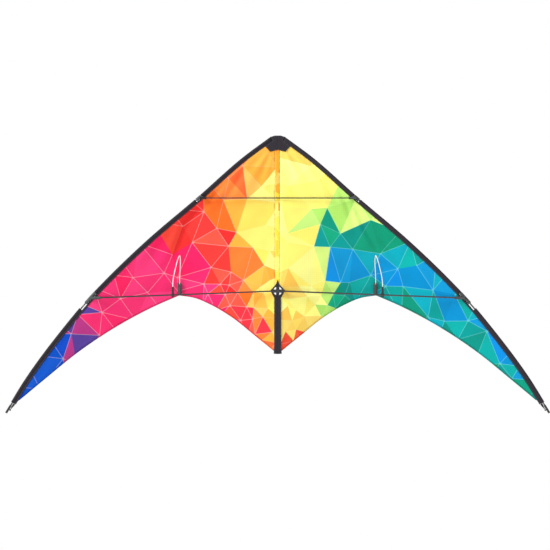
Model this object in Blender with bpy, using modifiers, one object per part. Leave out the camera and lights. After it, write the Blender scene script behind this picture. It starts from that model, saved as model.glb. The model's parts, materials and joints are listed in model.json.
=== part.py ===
"""A two-line delta kite, standing upright with its face towards -Y and its nose towards +Z.

The origin is the middle of the moulded centre cross's flat front face. X runs along the span. The
pieces are first made with Y = 0 in the plane of the leading edges, and an empty then moves them all
back by the depth of the cross. Each wing is built once, for the right-hand side, and the left-hand
side is its mirror image in the plane X = 0.
"""

import math

import bmesh
import bpy
import numpy as np
from mathutils import Matrix, Vector

# ---------------------------------------------------------------- driving dimensions, in metres
GAP = 0.0003  # air between two pieces that touch

# Rods
ROD_RADIUS = 0.0020
UPPER_SPREADER_RADIUS = 0.0016
BOW_RADIUS = 0.0011
SPINE_Y = 0.0034  # the spine lies behind the sail
LOWER_SPREADER_Y = -0.0080
UPPER_SPREADER_Y = -0.0065
SPINE_TOP = 0.4085
SPINE_BOTTOM = -0.1615

# Centreline of a wing's leading-edge rods from the nose to the wing tip, as (X, Z)
LEADING_EDGE = (
    (0.0185, 0.4060),
    (0.0845, 0.3575),
    (0.2090, 0.2485),
    (0.3520, 0.1265),
    (0.4570, 0.0255),
    (0.4995, -0.0190),
    (0.5745, -0.1085),
    (0.6705, -0.2385),
    (0.7235, -0.3250),
)
# Places along the leading edge, as a share of its length
UPPER_FITTING_AT = 0.2438
LOWER_FITTING_AT = 0.6284
ROD_JOINT_AT = 0.5740
SLEEVE_END_AT = 0.9680

# Cloth
SAIL_THICKNESS = 0.0008
SEAM_X = 0.0063  # inner edge of a wing's cloth
SPINE_TAPE_HALF_WIDTH = 0.0057  # clear of the wings' edges when they fold back
SLEEVE_RADIUS = 0.0042
SLEEVE_BORE = 0.0034
SLEEVE_FLANGE = 0.0008  # half the thickness of the tape's two sewn layers
NOTCH_RADIUS = 0.0096
SLEEVE_WIDTH = (0.0125, 0.0150)  # from the outer fold to the inner edge, at the nose and at the tip
BILLOW = 0.0520  # how far the stand-offs push the trailing edge back
CUSP = (0.2650, -0.0125)
TAIL = (SEAM_X, -0.1630)
WING_TIP_X = 0.6960
CROSS_HOLE_RADIUS = 0.0115

# Trailing edge from the tail to the cusp, and from the cusp to the wing tip, as (X, Z)
INNER_TRAILING_EDGE = (TAIL, (0.0600, -0.1200), (0.1230, -0.0705), (0.1810, -0.0365), (0.2220, -0.0195), CUSP)
OUTER_TRAILING_EDGE = (CUSP, (0.3300, -0.0410), (0.4300, -0.0945), (0.5300, -0.1610), (0.6260, -0.2390),
                       (0.6975, -0.2990))
HEM_WIDTH = 0.0050
HEM_THICKNESS = 0.0012

# Nose and centre reinforcements, right-hand halves, as (X, Z)
NOSE_OUTLINE = ((0.0, 0.4140), (0.0085, 0.4140), (0.0150, 0.4115), (0.0093, 0.3985), (0.0300, 0.3832),
                (0.0204, 0.3706), (0.0, 0.3757))
CENTRE_OUTLINE = ((0.0, 0.0300), (0.0050, 0.0170), (0.0198, 0.0010), (0.0090, -0.0190), (0.0095, -0.1500),
                  (0.0108, -0.1675), (0.0, -0.1675))
TAIL_STRAP_HALF_WIDTH = 0.0095
TAIL_LEAF_HALF_WIDTH = 0.0055
TAIL_STRAP_Z = -0.1674  # the strap's fold under the spine's end
TAIL_FOLD_Y = -0.0008
TAIL_BACK_Y = 0.0090
PATCH_THICKNESS = 0.0006
PATCH_Y = -0.0014  # mid-plane of the centre patch and of the nose patch's front layer
NOSE_BACK_Y = 0.0074

# Moulded fittings
TEE_ARM_END = 0.0170
TEE_RADIUS = 0.0044
TEE_SLOT = 0.0027
TEE_FRONT_Y = -0.0135
FITTING_RADIUS = 0.0041
UPPER_FITTING_LENGTH = 0.0170
LOWER_FITTING_LENGTH = 0.0370
UPPER_STUB = 0.0230
LOWER_STUB = 0.0300

# Stand-offs
STANDOFF_X = 0.2790
STANDOFF_CLIP_X = 0.2630
BOW_APEX = (0.2615, 0.0095, 0.0945)
CLIP_RADIUS = 0.0050
CLIP_HEIGHTS = (-0.0110, 0.0200)

WHITE = (0.90, 0.90, 0.88)
BLACK = (0.035, 0.033, 0.036)
SAIL_PINK = (0.95, 0.14, 0.42)
SAIL_TEAL = (0.0, 0.50, 0.55)


# ---------------------------------------------------------------- helpers
def clear_scene():
    for obj in list(bpy.data.objects):
        bpy.data.objects.remove(obj, do_unlink=True)


def new_collection(name):
    collection = bpy.data.collections.new(name)
    bpy.context.scene.collection.children.link(collection)
    return collection


def new_material(name, colour, roughness, metallic=0.0):
    material = bpy.data.materials.new(name)
    material.use_nodes = True
    shader = material.node_tree.nodes["Principled BSDF"]
    shader.inputs["Base Color"].default_value = (*colour, 1.0)
    shader.inputs["Roughness"].default_value = roughness
    shader.inputs["Metallic"].default_value = metallic
    return material


def link(name, data, look, collection=None):
    obj = bpy.data.objects.new(name, data)
    (collection or PARTS).objects.link(obj)
    if look is not None:
        data.materials.clear()
        data.materials.append(look)
    return obj


def smooth_path(stations, count):
    """`count` points, evenly spaced by chord length, on a smooth curve through the stations."""
    points = np.array(stations, float)
    at = np.concatenate([[0.0], np.cumsum(np.linalg.norm(np.diff(points, axis=0), axis=1))])
    slopes = np.gradient(points, at, axis=0)
    wanted = np.linspace(0.0, at[-1], count)
    i = np.clip(np.searchsorted(at, wanted, side="right") - 1, 0, len(at) - 2)
    span = (at[i + 1] - at[i])[:, None]
    t = ((wanted - at[i]) / (at[i + 1] - at[i]))[:, None]
    return ((2 * t**3 - 3 * t**2 + 1) * points[i] + (t**3 - 2 * t**2 + t) * span * slopes[i]
            + (3 * t**2 - 2 * t**3) * points[i + 1] + (t**3 - t**2) * span * slopes[i + 1])


EDGE = smooth_path(LEADING_EDGE, 400)


def edge_at(share):
    """Point (X, Z) and unit direction towards the tip, at this share of the leading edge's length."""
    place = share * (len(EDGE) - 1)
    low = int(np.clip(math.floor(place), 0, len(EDGE) - 2))
    point = EDGE[low] + (place - low) * (EDGE[low + 1] - EDGE[low])
    direction = EDGE[low + 1] - EDGE[low]
    return point, direction / np.linalg.norm(direction)


def edge_length():
    return float(np.linalg.norm(np.diff(EDGE, axis=0), axis=1).sum())


def edge_point(share, inward=0.0, y=0.0):
    """A point on the leading edge, moved inwards across it in the plane of the sail."""
    point, direction = edge_at(share)
    place = point + inward * np.array([direction[1], -direction[0]])
    return Vector((place[0], y, place[1]))


def mesh_object(name, points, faces, look, smooth=True):
    mesh = bpy.data.meshes.new(name)
    mesh.from_pydata([tuple(map(float, p)) for p in points], [], faces)
    obj = link(name, mesh, look)
    if smooth:
        mesh.shade_smooth()
        mesh.set_sharp_from_angle(angle=math.radians(35))
    return obj


def tube(name, points, radius, look, resolution=2, collection=None):
    """A solid rod along a line of points."""
    curve = bpy.data.curves.new(name, "CURVE")
    curve.dimensions = "3D"
    curve.bevel_depth = radius
    curve.bevel_resolution = resolution
    curve.use_fill_caps = True
    spline = curve.splines.new("POLY")
    spline.points.add(len(points) - 1)
    for place, point in zip(spline.points, points):
        place.co = (*point, 1.0)
    return link(name, curve, look, collection)


def as_mesh(obj):
    """The same object as a welded mesh, ready for Boolean work."""
    bpy.context.view_layer.update()
    mesh = bpy.data.meshes.new_from_object(obj.evaluated_get(bpy.context.evaluated_depsgraph_get()))
    work = bmesh.new()
    work.from_mesh(mesh)
    bmesh.ops.remove_doubles(work, verts=work.verts, dist=1e-6)
    bmesh.ops.recalc_face_normals(work, faces=work.faces)
    work.to_mesh(mesh)
    work.free()
    made = bpy.data.objects.new("solid", mesh)
    made.matrix_world = obj.matrix_world.copy()
    for collection in obj.users_collection:
        collection.objects.link(made)
    name = obj.name
    bpy.data.objects.remove(obj, do_unlink=True)
    made.name = name
    mesh.name = name
    return made


def plate(name, outline, thickness, y, look, hole=None, collection=None):
    """A flat outline in the XZ plane, with its mid-plane at this Y."""
    curve = bpy.data.curves.new(name, "CURVE")
    curve.dimensions = "2D"
    curve.fill_mode = "BOTH"
    curve.extrude = thickness / 2
    for loop in [outline] + ([hole] if hole else []):
        spline = curve.splines.new("POLY")
        spline.points.add(len(loop) - 1)
        for place, (x, z) in zip(spline.points, loop):
            place.co = (x, z, 0.0, 1.0)
        spline.use_cyclic_u = True
    obj = link(name, curve, look, collection)
    obj.rotation_euler = (math.radians(90), 0, 0)
    obj.location = (0, y, 0)
    return as_mesh(obj)


def mirrored_outline(half):
    """A closed outline from its right-hand half, which starts and ends on the centre line."""
    return list(half) + [(-x, z) for x, z in reversed(half[1:-1])]


def box(name, low, high, look=None, collection=None):
    mesh = bpy.data.meshes.new(name)
    work = bmesh.new()
    bmesh.ops.create_cube(work, size=1.0)
    size = Vector(high) - Vector(low)
    bmesh.ops.scale(work, vec=size, verts=work.verts)
    bmesh.ops.translate(work, vec=(Vector(high) + Vector(low)) / 2, verts=work.verts)
    work.to_mesh(mesh)
    work.free()
    return link(name, mesh, look, collection)


def cutter(obj):
    obj.hide_render = True
    obj.display_type = "WIRE"
    for collection in list(obj.users_collection):
        collection.objects.unlink(obj)
    CUTTERS.objects.link(obj)
    return obj


def boolean(obj, other, operation):
    modifier = obj.modifiers.new(operation.lower(), "BOOLEAN")
    modifier.operation = operation
    modifier.object = cutter(other)


def cylinder_between(name, start, end, radius, sides=16, look=None):
    """A closed cylinder from one point to another."""
    start, end = Vector(start), Vector(end)
    mesh = bpy.data.meshes.new(name)
    work = bmesh.new()
    bmesh.ops.create_cone(work, cap_ends=True, segments=sides, radius1=radius, radius2=radius,
                          depth=(end - start).length)
    turn = (end - start).to_track_quat("Z", "Y").to_matrix().to_4x4()
    bmesh.ops.transform(work, matrix=Matrix.Translation((start + end) / 2) @ turn, verts=work.verts)
    work.to_mesh(mesh)
    work.free()
    obj = link(name, mesh, look)
    if look is not None:
        mesh.shade_smooth()
        mesh.set_sharp_from_angle(angle=math.radians(35))
    return obj


def settle(obj):
    """Applies the modifiers, so that the finished mesh can be mirrored and its cutters dropped."""
    made = as_mesh(obj)
    made.data.shade_smooth()
    made.data.set_sharp_from_angle(angle=math.radians(35))
    for helper in list(CUTTERS.objects):
        bpy.data.objects.remove(helper, do_unlink=True)
    return made


def both_wings(make, name, look, left_look=None):
    """Makes a piece on the right wing and its mirror image on the left wing."""
    right = settle(make("right_" + name, look))
    mesh = right.data.copy()
    mesh.transform(Matrix.Scale(-1, 4, (1, 0, 0)))
    mesh.flip_normals()
    link("left_" + name, mesh, left_look or look)


# ---------------------------------------------------------------- leading edge
def share_of(length):
    return length / edge_length()


def upper_rod(name, look):
    shares = np.linspace(0.0, ROD_JOINT_AT - share_of(GAP), 22)
    return tube(name, [edge_point(s) for s in shares], ROD_RADIUS, look)


def lower_rod(name, look):
    shares = np.linspace(ROD_JOINT_AT, 1.0 - share_of(0.0125), 18)
    return tube(name, [edge_point(s) for s in shares], ROD_RADIUS, look)


def hollow_round(name, start, end, outer, bore, look):
    """A straight pipe between two points."""
    start, end = Vector(start), Vector(end)
    along = (end - start).normalized()
    body = cylinder_between(name, start, end, outer, look=look)
    boolean(body, cylinder_between("bore", start - 0.01 * along, end + 0.01 * along, bore), "DIFFERENCE")
    return body


def ferrule(name, look):
    half = share_of(0.024)
    return hollow_round(name, edge_point(ROD_JOINT_AT - half), edge_point(ROD_JOINT_AT + half),
                        0.0030, ROD_RADIUS + 0.0004, look)


def sleeve_width(share):
    return SLEEVE_WIDTH[0] + (SLEEVE_WIDTH[1] - SLEEVE_WIDTH[0]) * share


def sleeve_section(width):
    """Outer and inner loops of a folded tape, as (inwards, Y) pairs: a tube with a sewn flange."""
    meet = math.asin(SLEEVE_FLANGE / SLEEVE_RADIUS)
    angles = np.linspace(meet, 2 * math.pi - meet, 9)
    outer = [(SLEEVE_RADIUS * math.cos(a), SLEEVE_RADIUS * math.sin(a)) for a in angles]
    flange = width - SLEEVE_RADIUS
    outer += [(flange, -SLEEVE_FLANGE), (flange, SLEEVE_FLANGE)]
    inner = [(SLEEVE_BORE * math.cos(a), SLEEVE_BORE * math.sin(a)) for a in angles]
    inner += [(SLEEVE_BORE, -SLEEVE_FLANGE / 2), (SLEEVE_BORE, SLEEVE_FLANGE / 2)]
    return outer, inner


def sleeve_body(name, look):
    """The folded tape swept along the leading edge, open at both ends."""
    shares = np.linspace(share_of(0.0045), SLEEVE_END_AT, 30)
    points, faces = [], []
    for share in shares:
        for loop in sleeve_section(sleeve_width(share)):
            points += [edge_point(share, inward, y) for inward, y in loop]
    n = len(sleeve_section(0.0125)[0])
    for row in range(len(shares) - 1):
        for k in range(n):
            a, b = row * 2 * n + k, row * 2 * n + (k + 1) % n
            faces.append((a, b, b + 2 * n, a + 2 * n))
            faces.append((a + n, a + 3 * n, b + 3 * n, b + n))
    for row, turned in ((0, False), (len(shares) - 1, True)):
        for k in range(n):
            a, b = row * 2 * n + k, row * 2 * n + (k + 1) % n
            ring = (a, a + n, b + n, b)
            faces.append(tuple(reversed(ring)) if turned else ring)
    return as_mesh(mesh_object(name, points, faces, look))


def sleeve(name, look):
    """The sleeve with the two cut-outs where the fittings grip the bare rod."""
    body = sleeve_body(name, look)
    cuts = ((UPPER_FITTING_AT, 0.0115, 0.0150), (LOWER_FITTING_AT, 0.0200, 0.0420))
    for at, above, below in cuts:
        ends = [edge_point(at - share_of(above), -0.003), edge_point(at + share_of(below), -0.003)]
        boolean(body, cylinder_between("notch", *ends, NOTCH_RADIUS, 20), "DIFFERENCE")
    return body


# ---------------------------------------------------------------- sail
def height_on(path, x):
    return float(np.interp(x, path[:, 0], path[:, 1]))


def depth(x, share):
    """How far back the sail lies: none at the seam and the leading edge, most at the cusp."""
    along = (x - SEAM_X) / (CUSP[0] - SEAM_X) if x < CUSP[0] else (WING_TIP_X - x) / (WING_TIP_X - CUSP[0])
    along = max(along, 0.0)
    rounded = math.sin(along * math.pi / 2) * 0.35 + along * 0.65
    return BILLOW * rounded * share ** 1.15


def sleeve_inner_edge():
    shares = np.linspace(0.0, 1.0, 200)
    return np.array([[p.x, p.z] for p in (edge_point(s, sleeve_width(s) - SLEEVE_RADIUS + GAP) for s in shares)])


def trailing_edge():
    inner = smooth_path(INNER_TRAILING_EDGE, 60)
    return np.concatenate([inner, smooth_path(OUTER_TRAILING_EDGE, 90)[1:]])


def span_stations():
    """Places along the span where the cloth is measured, with one of them at the cusp."""
    inner = np.linspace(SEAM_X, CUSP[0], 13)
    outer = np.linspace(CUSP[0], WING_TIP_X - 0.004, 19)[1:]
    return np.concatenate([inner, outer])


def sail_grid(hem):
    """Columns of points from the leading edge to the trailing edge, less the hem."""
    top_path, bottom_path = sleeve_inner_edge(), trailing_edge()
    columns = []
    for x in span_stations():
        top = height_on(top_path, x)
        bottom = min(height_on(bottom_path, x) + hem, top - 0.0005)
        shares = np.linspace(0.0, 1.0, 8)
        columns.append([(x, depth(x, s), top + (bottom - top) * s) for s in shares])
    return columns


def sheet_solid(name, columns, thickness, look):
    """A closed solid of even thickness around a grid of points."""
    rows = len(columns[0])
    points = [p for column in columns for p in column]
    faces = [(c * rows + r, c * rows + r + 1, (c + 1) * rows + r + 1, (c + 1) * rows + r)
             for c in range(len(columns) - 1) for r in range(rows - 1)]
    obj = mesh_object(name, points, faces, look)
    solid = obj.modifiers.new("cloth", "SOLIDIFY")
    solid.thickness = thickness
    solid.offset = 0.0
    solid.use_rim = True
    return obj


def sail(name, look):
    body = as_mesh(sheet_solid(name, sail_grid(HEM_WIDTH + GAP), SAIL_THICKNESS, look))
    hole = cylinder_between("hole", (0, -0.01, 0), (0, 0.01, 0), CROSS_HOLE_RADIUS, 24)
    boolean(body, hole, "DIFFERENCE")
    return body


def hem(name, look):
    """The doubled strip along the trailing edge."""
    bottom_path = trailing_edge()
    columns = []
    for x in span_stations()[:-2]:
        z = height_on(bottom_path, x)
        y = depth(x, 1.0)
        columns.append([(x, y, z + HEM_WIDTH), (x, y, z)])
    return sheet_solid(name, columns, HEM_THICKNESS, look)


def standoff_patch(name, look):
    """The round reinforcement on the back of the sail at the cusp."""
    x, z = CUSP[0] - 0.003, 0.004
    y = depth(x, 1.0) + 0.0022
    return cylinder_between(name, (x, y, z), (x, y + 0.0008, z), 0.010, 20, look)


# ---------------------------------------------------------------- fittings
def spreader_end(at, y, drop=0.0):
    point, _ = edge_at(at)
    return Vector((point[0], y, point[1] + drop))


def lower_spreader_line():
    """Inner and outer ends of the lower spreader's centreline."""
    outer = spreader_end(LOWER_FITTING_AT, LOWER_SPREADER_Y)
    along = (outer - Vector((0, LOWER_SPREADER_Y, 0))).normalized()
    return Vector((0, LOWER_SPREADER_Y, 0)) + along * 0.0064, outer - along * 0.0062, along


def lower_spreader(name, look):
    start, end, _ = lower_spreader_line()
    return tube(name, [start.lerp(end, t) for t in np.linspace(0, 1, 3)], ROD_RADIUS, look)


def grip(name, at, length, look):
    """The part of a fitting that wraps the leading-edge rod."""
    half = share_of(length / 2)
    return cylinder_between(name, edge_point(at - half), edge_point(at + half), FITTING_RADIUS, look=look)


def bored(body, at, length):
    half = share_of(length / 2 + 0.006)
    boolean(body, cylinder_between("rod_bore", edge_point(at - half), edge_point(at + half),
                                   ROD_RADIUS + GAP), "DIFFERENCE")


def lower_fitting(name, look):
    """A rubber connector: a long grip on the rod and a stub that takes the lower spreader."""
    start, end, along = lower_spreader_line()
    body = grip(name, LOWER_FITTING_AT, LOWER_FITTING_LENGTH, look)
    boolean(body, cylinder_between("stub", end - along * LOWER_STUB * 0.75, end + along * 0.0040, 0.0042), "UNION")
    root = edge_point(LOWER_FITTING_AT)
    boolean(body, cylinder_between("web", root - along * 0.0010 + Vector((0, -0.0008, 0)),
                                   Vector((root.x, LOWER_SPREADER_Y, root.z)) - along * 0.0035, 0.0040), "UNION")
    boolean(body, cylinder_between("socket", end - along * 0.04, end + along * GAP, ROD_RADIUS + GAP), "DIFFERENCE")
    bored(body, LOWER_FITTING_AT, LOWER_FITTING_LENGTH)
    return body


def upper_fitting_line():
    """The upper spreader's end in the right-hand fitting, and the direction outwards."""
    point, _ = edge_at(UPPER_FITTING_AT)
    return Vector((point[0] - 0.0040, UPPER_SPREADER_Y, point[1]))


def upper_fitting_body(name, look):
    end = upper_fitting_line()
    body = grip(name, UPPER_FITTING_AT, UPPER_FITTING_LENGTH, look)
    boolean(body, cylinder_between("stub", end - Vector((UPPER_STUB * 0.75, 0, 0)), end + Vector((0.0035, 0, 0)),
                                   0.0036), "UNION")
    root = edge_point(UPPER_FITTING_AT)
    boolean(body, cylinder_between("web", root + Vector((-0.0010, -0.0008, 0)),
                                   Vector((root.x - 0.0030, UPPER_SPREADER_Y, root.z)), 0.0034), "UNION")
    return body


def upper_fitting_right(look):
    """The fitting that holds its end of the upper spreader in a closed socket."""
    end = upper_fitting_line()
    body = upper_fitting_body("right_upper_fitting", look)
    boolean(body, cylinder_between("socket", end - Vector((0.04, 0, 0)), end + Vector((GAP, 0, 0)),
                                   UPPER_SPREADER_RADIUS + GAP), "DIFFERENCE")
    bored(body, UPPER_FITTING_AT, UPPER_FITTING_LENGTH)
    return settle(body)


def upper_fitting_left(look):
    """The fitting whose socket is open at the front, so that its end of the spreader can leave."""
    end = upper_fitting_line()
    body = upper_fitting_body("left_upper_fitting", look)
    slot = UPPER_SPREADER_RADIUS + 0.0006
    boolean(body, box("slot", (end.x - 0.04, UPPER_SPREADER_Y - 0.02, end.z - slot),
                      (end.x + 0.0010, UPPER_SPREADER_Y + slot, end.z + slot)), "DIFFERENCE")
    bored(body, UPPER_FITTING_AT, UPPER_FITTING_LENGTH)
    made = settle(body)
    made.data.transform(Matrix.Scale(-1, 4, (1, 0, 0)))
    made.data.flip_normals()


def upper_spreader(look):
    end = upper_fitting_line()
    points = [Vector((x, end.y, end.z)) for x in (-end.x, 0.0, end.x)]
    return tube("upper_spreader", points, UPPER_SPREADER_RADIUS, look)


def tip_nock(name, look):
    """The moulded cap on the rod's end, with a slot across it for the tension cord."""
    end = edge_point(1.0)
    _, direction = edge_at(0.995)
    along = Vector((direction[0], 0, direction[1]))
    body = cylinder_between(name, end - along * 0.0240, end, 0.0031, look=look)
    boolean(body, cylinder_between("bore", end - along * 0.04, end - along * 0.0122, ROD_RADIUS + GAP), "DIFFERENCE")
    across = Vector((-along.z, 0, along.x))
    notch = box("notch", (-0.02, -0.0009, -0.0035), (0.02, 0.0009, 0.0035))
    notch.matrix_world = Matrix.Translation(end) @ Matrix((across, (0, 1, 0), -along)).transposed().to_4x4()
    boolean(body, notch, "DIFFERENCE")
    return body


def tip_cord(name, look):
    """The tension cord from the sleeve's end, beside the rod, to its knot."""
    _, direction = edge_at(0.985)
    along = Vector((direction[0], 0, direction[1]))
    inward = Vector((along.z, 0, -along.x))
    start = edge_point(SLEEVE_END_AT) + inward * 0.0060 + along * 0.0005
    end = edge_point(1.0) + inward * 0.0046 - along * 0.0100
    body = as_mesh(tube(name, [start.lerp(end, t) for t in np.linspace(0, 1, 6)], 0.0008, look))
    knot = bmesh.new()
    mesh = bpy.data.meshes.new("knot")
    bmesh.ops.create_uvsphere(knot, u_segments=10, v_segments=7, radius=0.0022)
    bmesh.ops.translate(knot, vec=end + inward * 0.0012, verts=knot.verts)
    knot.to_mesh(mesh)
    knot.free()
    boolean(body, link("knot", mesh, None), "UNION")
    return body


# ---------------------------------------------------------------- stand-offs
def standoff_height():
    """Height of the lower spreader's centreline at the stand-off."""
    _, _, along = lower_spreader_line()
    return along.z / along.x * STANDOFF_X


def sail_y(x, z):
    """How far back the sail lies at this place of its outline."""
    top, bottom = height_on(sleeve_inner_edge(), x), height_on(trailing_edge(), x)
    return depth(x, (top - z) / (top - bottom))


def clip_line():
    """Foot and top of the trailing-edge clip, which leans back along the sail."""
    foot, top = [Vector((STANDOFF_CLIP_X, sail_y(STANDOFF_CLIP_X, z) - CLIP_RADIUS - 0.0013, z))
                 for z in CLIP_HEIGHTS]
    return foot, top, (top - foot).normalized()


def bow_stations():
    _, clip, lean = clip_line()
    foot = Vector((STANDOFF_X, LOWER_SPREADER_Y + 0.0006, standoff_height() + 0.0050))
    apex = Vector(BOW_APEX)
    return (
        foot,
        foot + Vector((0, 0.0003, 0.0120)),
        foot + Vector((0, 0.0006, 0.0240)),
        Vector((STANDOFF_X - 0.0055, LOWER_SPREADER_Y + 0.0080, 0.0640)),
        apex + Vector((0.0030, -0.0060, -0.0060)),
        apex,
        apex + Vector((-0.0010, 0.0060, -0.0070)),
        clip + lean * 0.0300 + Vector((-0.0012, -0.0005, 0)),
        clip + lean * 0.0060,
        clip - lean * 0.0060,
    )


def standoff_bow(name, look):
    """The springy white rod that arches from the spreader back to the trailing edge."""
    return tube(name, smooth_path(bow_stations(), 36), BOW_RADIUS, look)


def standoff_socket(name, look):
    """The moulded socket that turns on the lower spreader and takes the bow's front foot."""
    z = standoff_height()
    foot = bow_stations()[0]
    _, _, along = lower_spreader_line()
    centre = Vector((STANDOFF_X, LOWER_SPREADER_Y, z))
    body = cylinder_between(name, centre - along * 0.0037, centre + along * 0.0037, 0.0042, look=look)
    boolean(body, cylinder_between("stem", centre, (foot.x, foot.y, 0.0110), 0.0028), "UNION")
    boolean(body, cylinder_between("lug", (foot.x, LOWER_SPREADER_Y, z - 0.0060), centre, 0.0030), "UNION")
    boolean(body, cylinder_between("bore", centre - along * 0.02, centre + along * 0.02, ROD_RADIUS + GAP),
            "DIFFERENCE")
    way = Vector(bow_stations()[1]) - foot
    boolean(body, cylinder_between("foot", foot - way.normalized() * 0.0004, foot + way * 3, BOW_RADIUS + 0.0005),
            "DIFFERENCE")
    return body


def trailing_edge_clip(name, look):
    """The thick connector on the trailing edge; the bow's back foot leaves it through its open front."""
    foot, top, lean = clip_line()
    body = cylinder_between(name, foot, top, CLIP_RADIUS, look=look)
    room = BOW_RADIUS + 0.0006
    slot = box("slot", (-room, -0.02, -0.0064), (room, room, 0.02))
    slot.matrix_world = Matrix.Translation(top) @ Matrix.Rotation(math.atan2(-lean.y, lean.z), 4, "X")
    boolean(body, slot, "DIFFERENCE")
    return body


# ---------------------------------------------------------------- centre
def spine_rod(look):
    points = [Vector((0, SPINE_Y, z)) for z in np.linspace(SPINE_BOTTOM, SPINE_TOP, 5)]
    return tube("spine_rod", points, ROD_RADIUS, look)


def spine_cap(look):
    """The vinyl cap on the spine's lower end."""
    body = cylinder_between("spine_end_cap", (0, SPINE_Y, SPINE_BOTTOM - 0.0020),
                            (0, SPINE_Y, SPINE_BOTTOM + 0.0120), 0.0030, look=look)
    boolean(body, cylinder_between("bore", (0, SPINE_Y, SPINE_BOTTOM - GAP), (0, SPINE_Y, SPINE_BOTTOM + 0.02),
                                   ROD_RADIUS + GAP), "DIFFERENCE")
    return settle(body)


def spine_sleeve(name, low, high, look):
    """A flat tape in line with the sail, with a round tunnel behind it for the spine."""
    body = box(name, (-SPINE_TAPE_HALF_WIDTH, -0.0004, low), (SPINE_TAPE_HALF_WIDTH, 0.0004, high), look)
    boolean(body, cylinder_between("tunnel", (0, SPINE_Y, low), (0, SPINE_Y, high), 0.0035), "UNION")
    boolean(body, cylinder_between("bore", (0, SPINE_Y, low - 0.01), (0, SPINE_Y, high + 0.01), 0.0027),
            "DIFFERENCE")
    return settle(body)


def centre_patch(look):
    """The black diamond and strip over the centre seam, with a round hole for the cross."""
    hole = [(CROSS_HOLE_RADIUS * math.cos(a), CROSS_HOLE_RADIUS * math.sin(a))
            for a in np.linspace(0, 2 * math.pi, 24, endpoint=False)]
    return plate("centre_patch", mirrored_outline(CENTRE_OUTLINE), PATCH_THICKNESS, PATCH_Y, look, hole)


def nose_patch(look):
    """A folded patch over the nose: a front layer, a back layer and the fold that joins them."""
    thickness = NOSE_BACK_Y - PATCH_Y + PATCH_THICKNESS
    body = plate("nose_patch", mirrored_outline(NOSE_OUTLINE), thickness, (PATCH_Y + NOSE_BACK_Y) / 2, look)
    boolean(body, box("fold", (-0.1, PATCH_Y + PATCH_THICKNESS / 2, 0.30),
                      (0.1, NOSE_BACK_Y - PATCH_THICKNESS / 2, 0.4134)), "DIFFERENCE")
    return settle(body)


def tail_strap(look):
    """The strap that folds up behind the spine's lower end and holds the spine in."""
    half, leaf, bottom = TAIL_STRAP_HALF_WIDTH, TAIL_LEAF_HALF_WIDTH, TAIL_STRAP_Z - 0.0004
    body = box("tail_strap", (-leaf, TAIL_BACK_Y - 0.0008, bottom), (leaf, TAIL_BACK_Y, bottom + 0.0345), look)
    boolean(body, box("turn", (-half, TAIL_FOLD_Y, bottom), (half, TAIL_BACK_Y, bottom + 0.0008)), "UNION")
    return settle(body)


def centre_tee(look):
    """The moulded cross: a collar on the spine and two arms, open at the back, for the spreaders."""
    _, _, along = lower_spreader_line()
    axis = Vector((0, LOWER_SPREADER_Y, 0))
    mirrored = Vector((-along.x, 0, along.z))
    body = cylinder_between("centre_tee", (0, SPINE_Y, -0.0110), (0, SPINE_Y, 0.0110), TEE_RADIUS, look=look)
    for way in (along, mirrored):
        boolean(body, cylinder_between("arm", axis, axis + way * TEE_ARM_END, TEE_RADIUS), "UNION")
    boolean(body, box("web", (-0.0050, TEE_FRONT_Y, -0.0044), (0.0050, SPINE_Y, 0.0044)), "UNION")
    for way in (along, mirrored):
        middle = axis + way * 0.0310
        slot = box("slot", (-0.0250, -TEE_SLOT, -TEE_SLOT), (0.0250, 0.02, TEE_SLOT))
        tilt = Matrix.Rotation(math.atan2(-way.z, way.x) if way.x > 0 else math.atan2(way.z, -way.x), 4, "Y")
        slot.matrix_world = Matrix.Translation(middle) @ tilt
        boolean(body, slot, "DIFFERENCE")
    boolean(body, cylinder_between("spine_bore", (0, SPINE_Y, -0.02), (0, SPINE_Y, 0.02), ROD_RADIUS + GAP),
            "DIFFERENCE")
    return settle(body)


# ---------------------------------------------------------------- how the pieces move
def pivot(name, place, parent=None):
    """An empty on a joint's axis; its place is given in the plane that the pieces are made in."""
    empty = bpy.data.objects.new(name, None)
    empty.empty_display_size = 0.02
    PARTS.objects.link(empty)
    empty.parent = parent
    empty.location = place if parent is None else Vector(place) - PLACES[parent.name]
    PLACES[name] = Vector((0, 0, 0)) if parent is None else Vector(place)
    return empty


def hang(empty, names):
    for name in names:
        piece = PARTS.objects[name]
        piece.parent = empty
        piece.matrix_parent_inverse = Matrix.Translation(-PLACES[empty.name])


def assemble():
    """Parents every piece to the empty of the body that it moves with."""
    plane = pivot("sail_plane", (0, -TEE_FRONT_Y, 0))
    hang(plane, ("spine_rod", "spine_end_cap", "spine_sleeve_upper", "spine_sleeve_lower", "centre_tee",
                 "centre_patch", "nose_patch"))
    hang(pivot("tail_fold", (0, TAIL_FOLD_Y, TAIL_STRAP_Z), plane), ("tail_strap",))
    for side, way in (("left", -1), ("right", 1)):
        wing = pivot(side + "_wing_fold", (way * SEAM_X, 0, 0), plane)
        hang(wing, [side + "_" + piece for piece in (
            "sail", "trailing_edge_hem", "leading_edge_sleeve", "standoff_patch", "upper_edge_rod",
            "lower_edge_rod", "ferrule", "lower_fitting", "lower_spreader", "trailing_edge_clip",
            "tip_nock", "tip_cord")])
        swing = pivot(side + "_standoff_swing", (way * STANDOFF_X, LOWER_SPREADER_Y, standoff_height()), wing)
        hang(swing, [side + "_standoff_socket", side + "_standoff_bow"])
    hang(PARTS.objects["left_wing_fold"], ("left_upper_fitting",))
    turn = pivot("upper_spreader_swing", edge_point(UPPER_FITTING_AT), PARTS.objects["right_wing_fold"])
    hang(turn, ("right_upper_fitting", "upper_spreader"))


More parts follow.
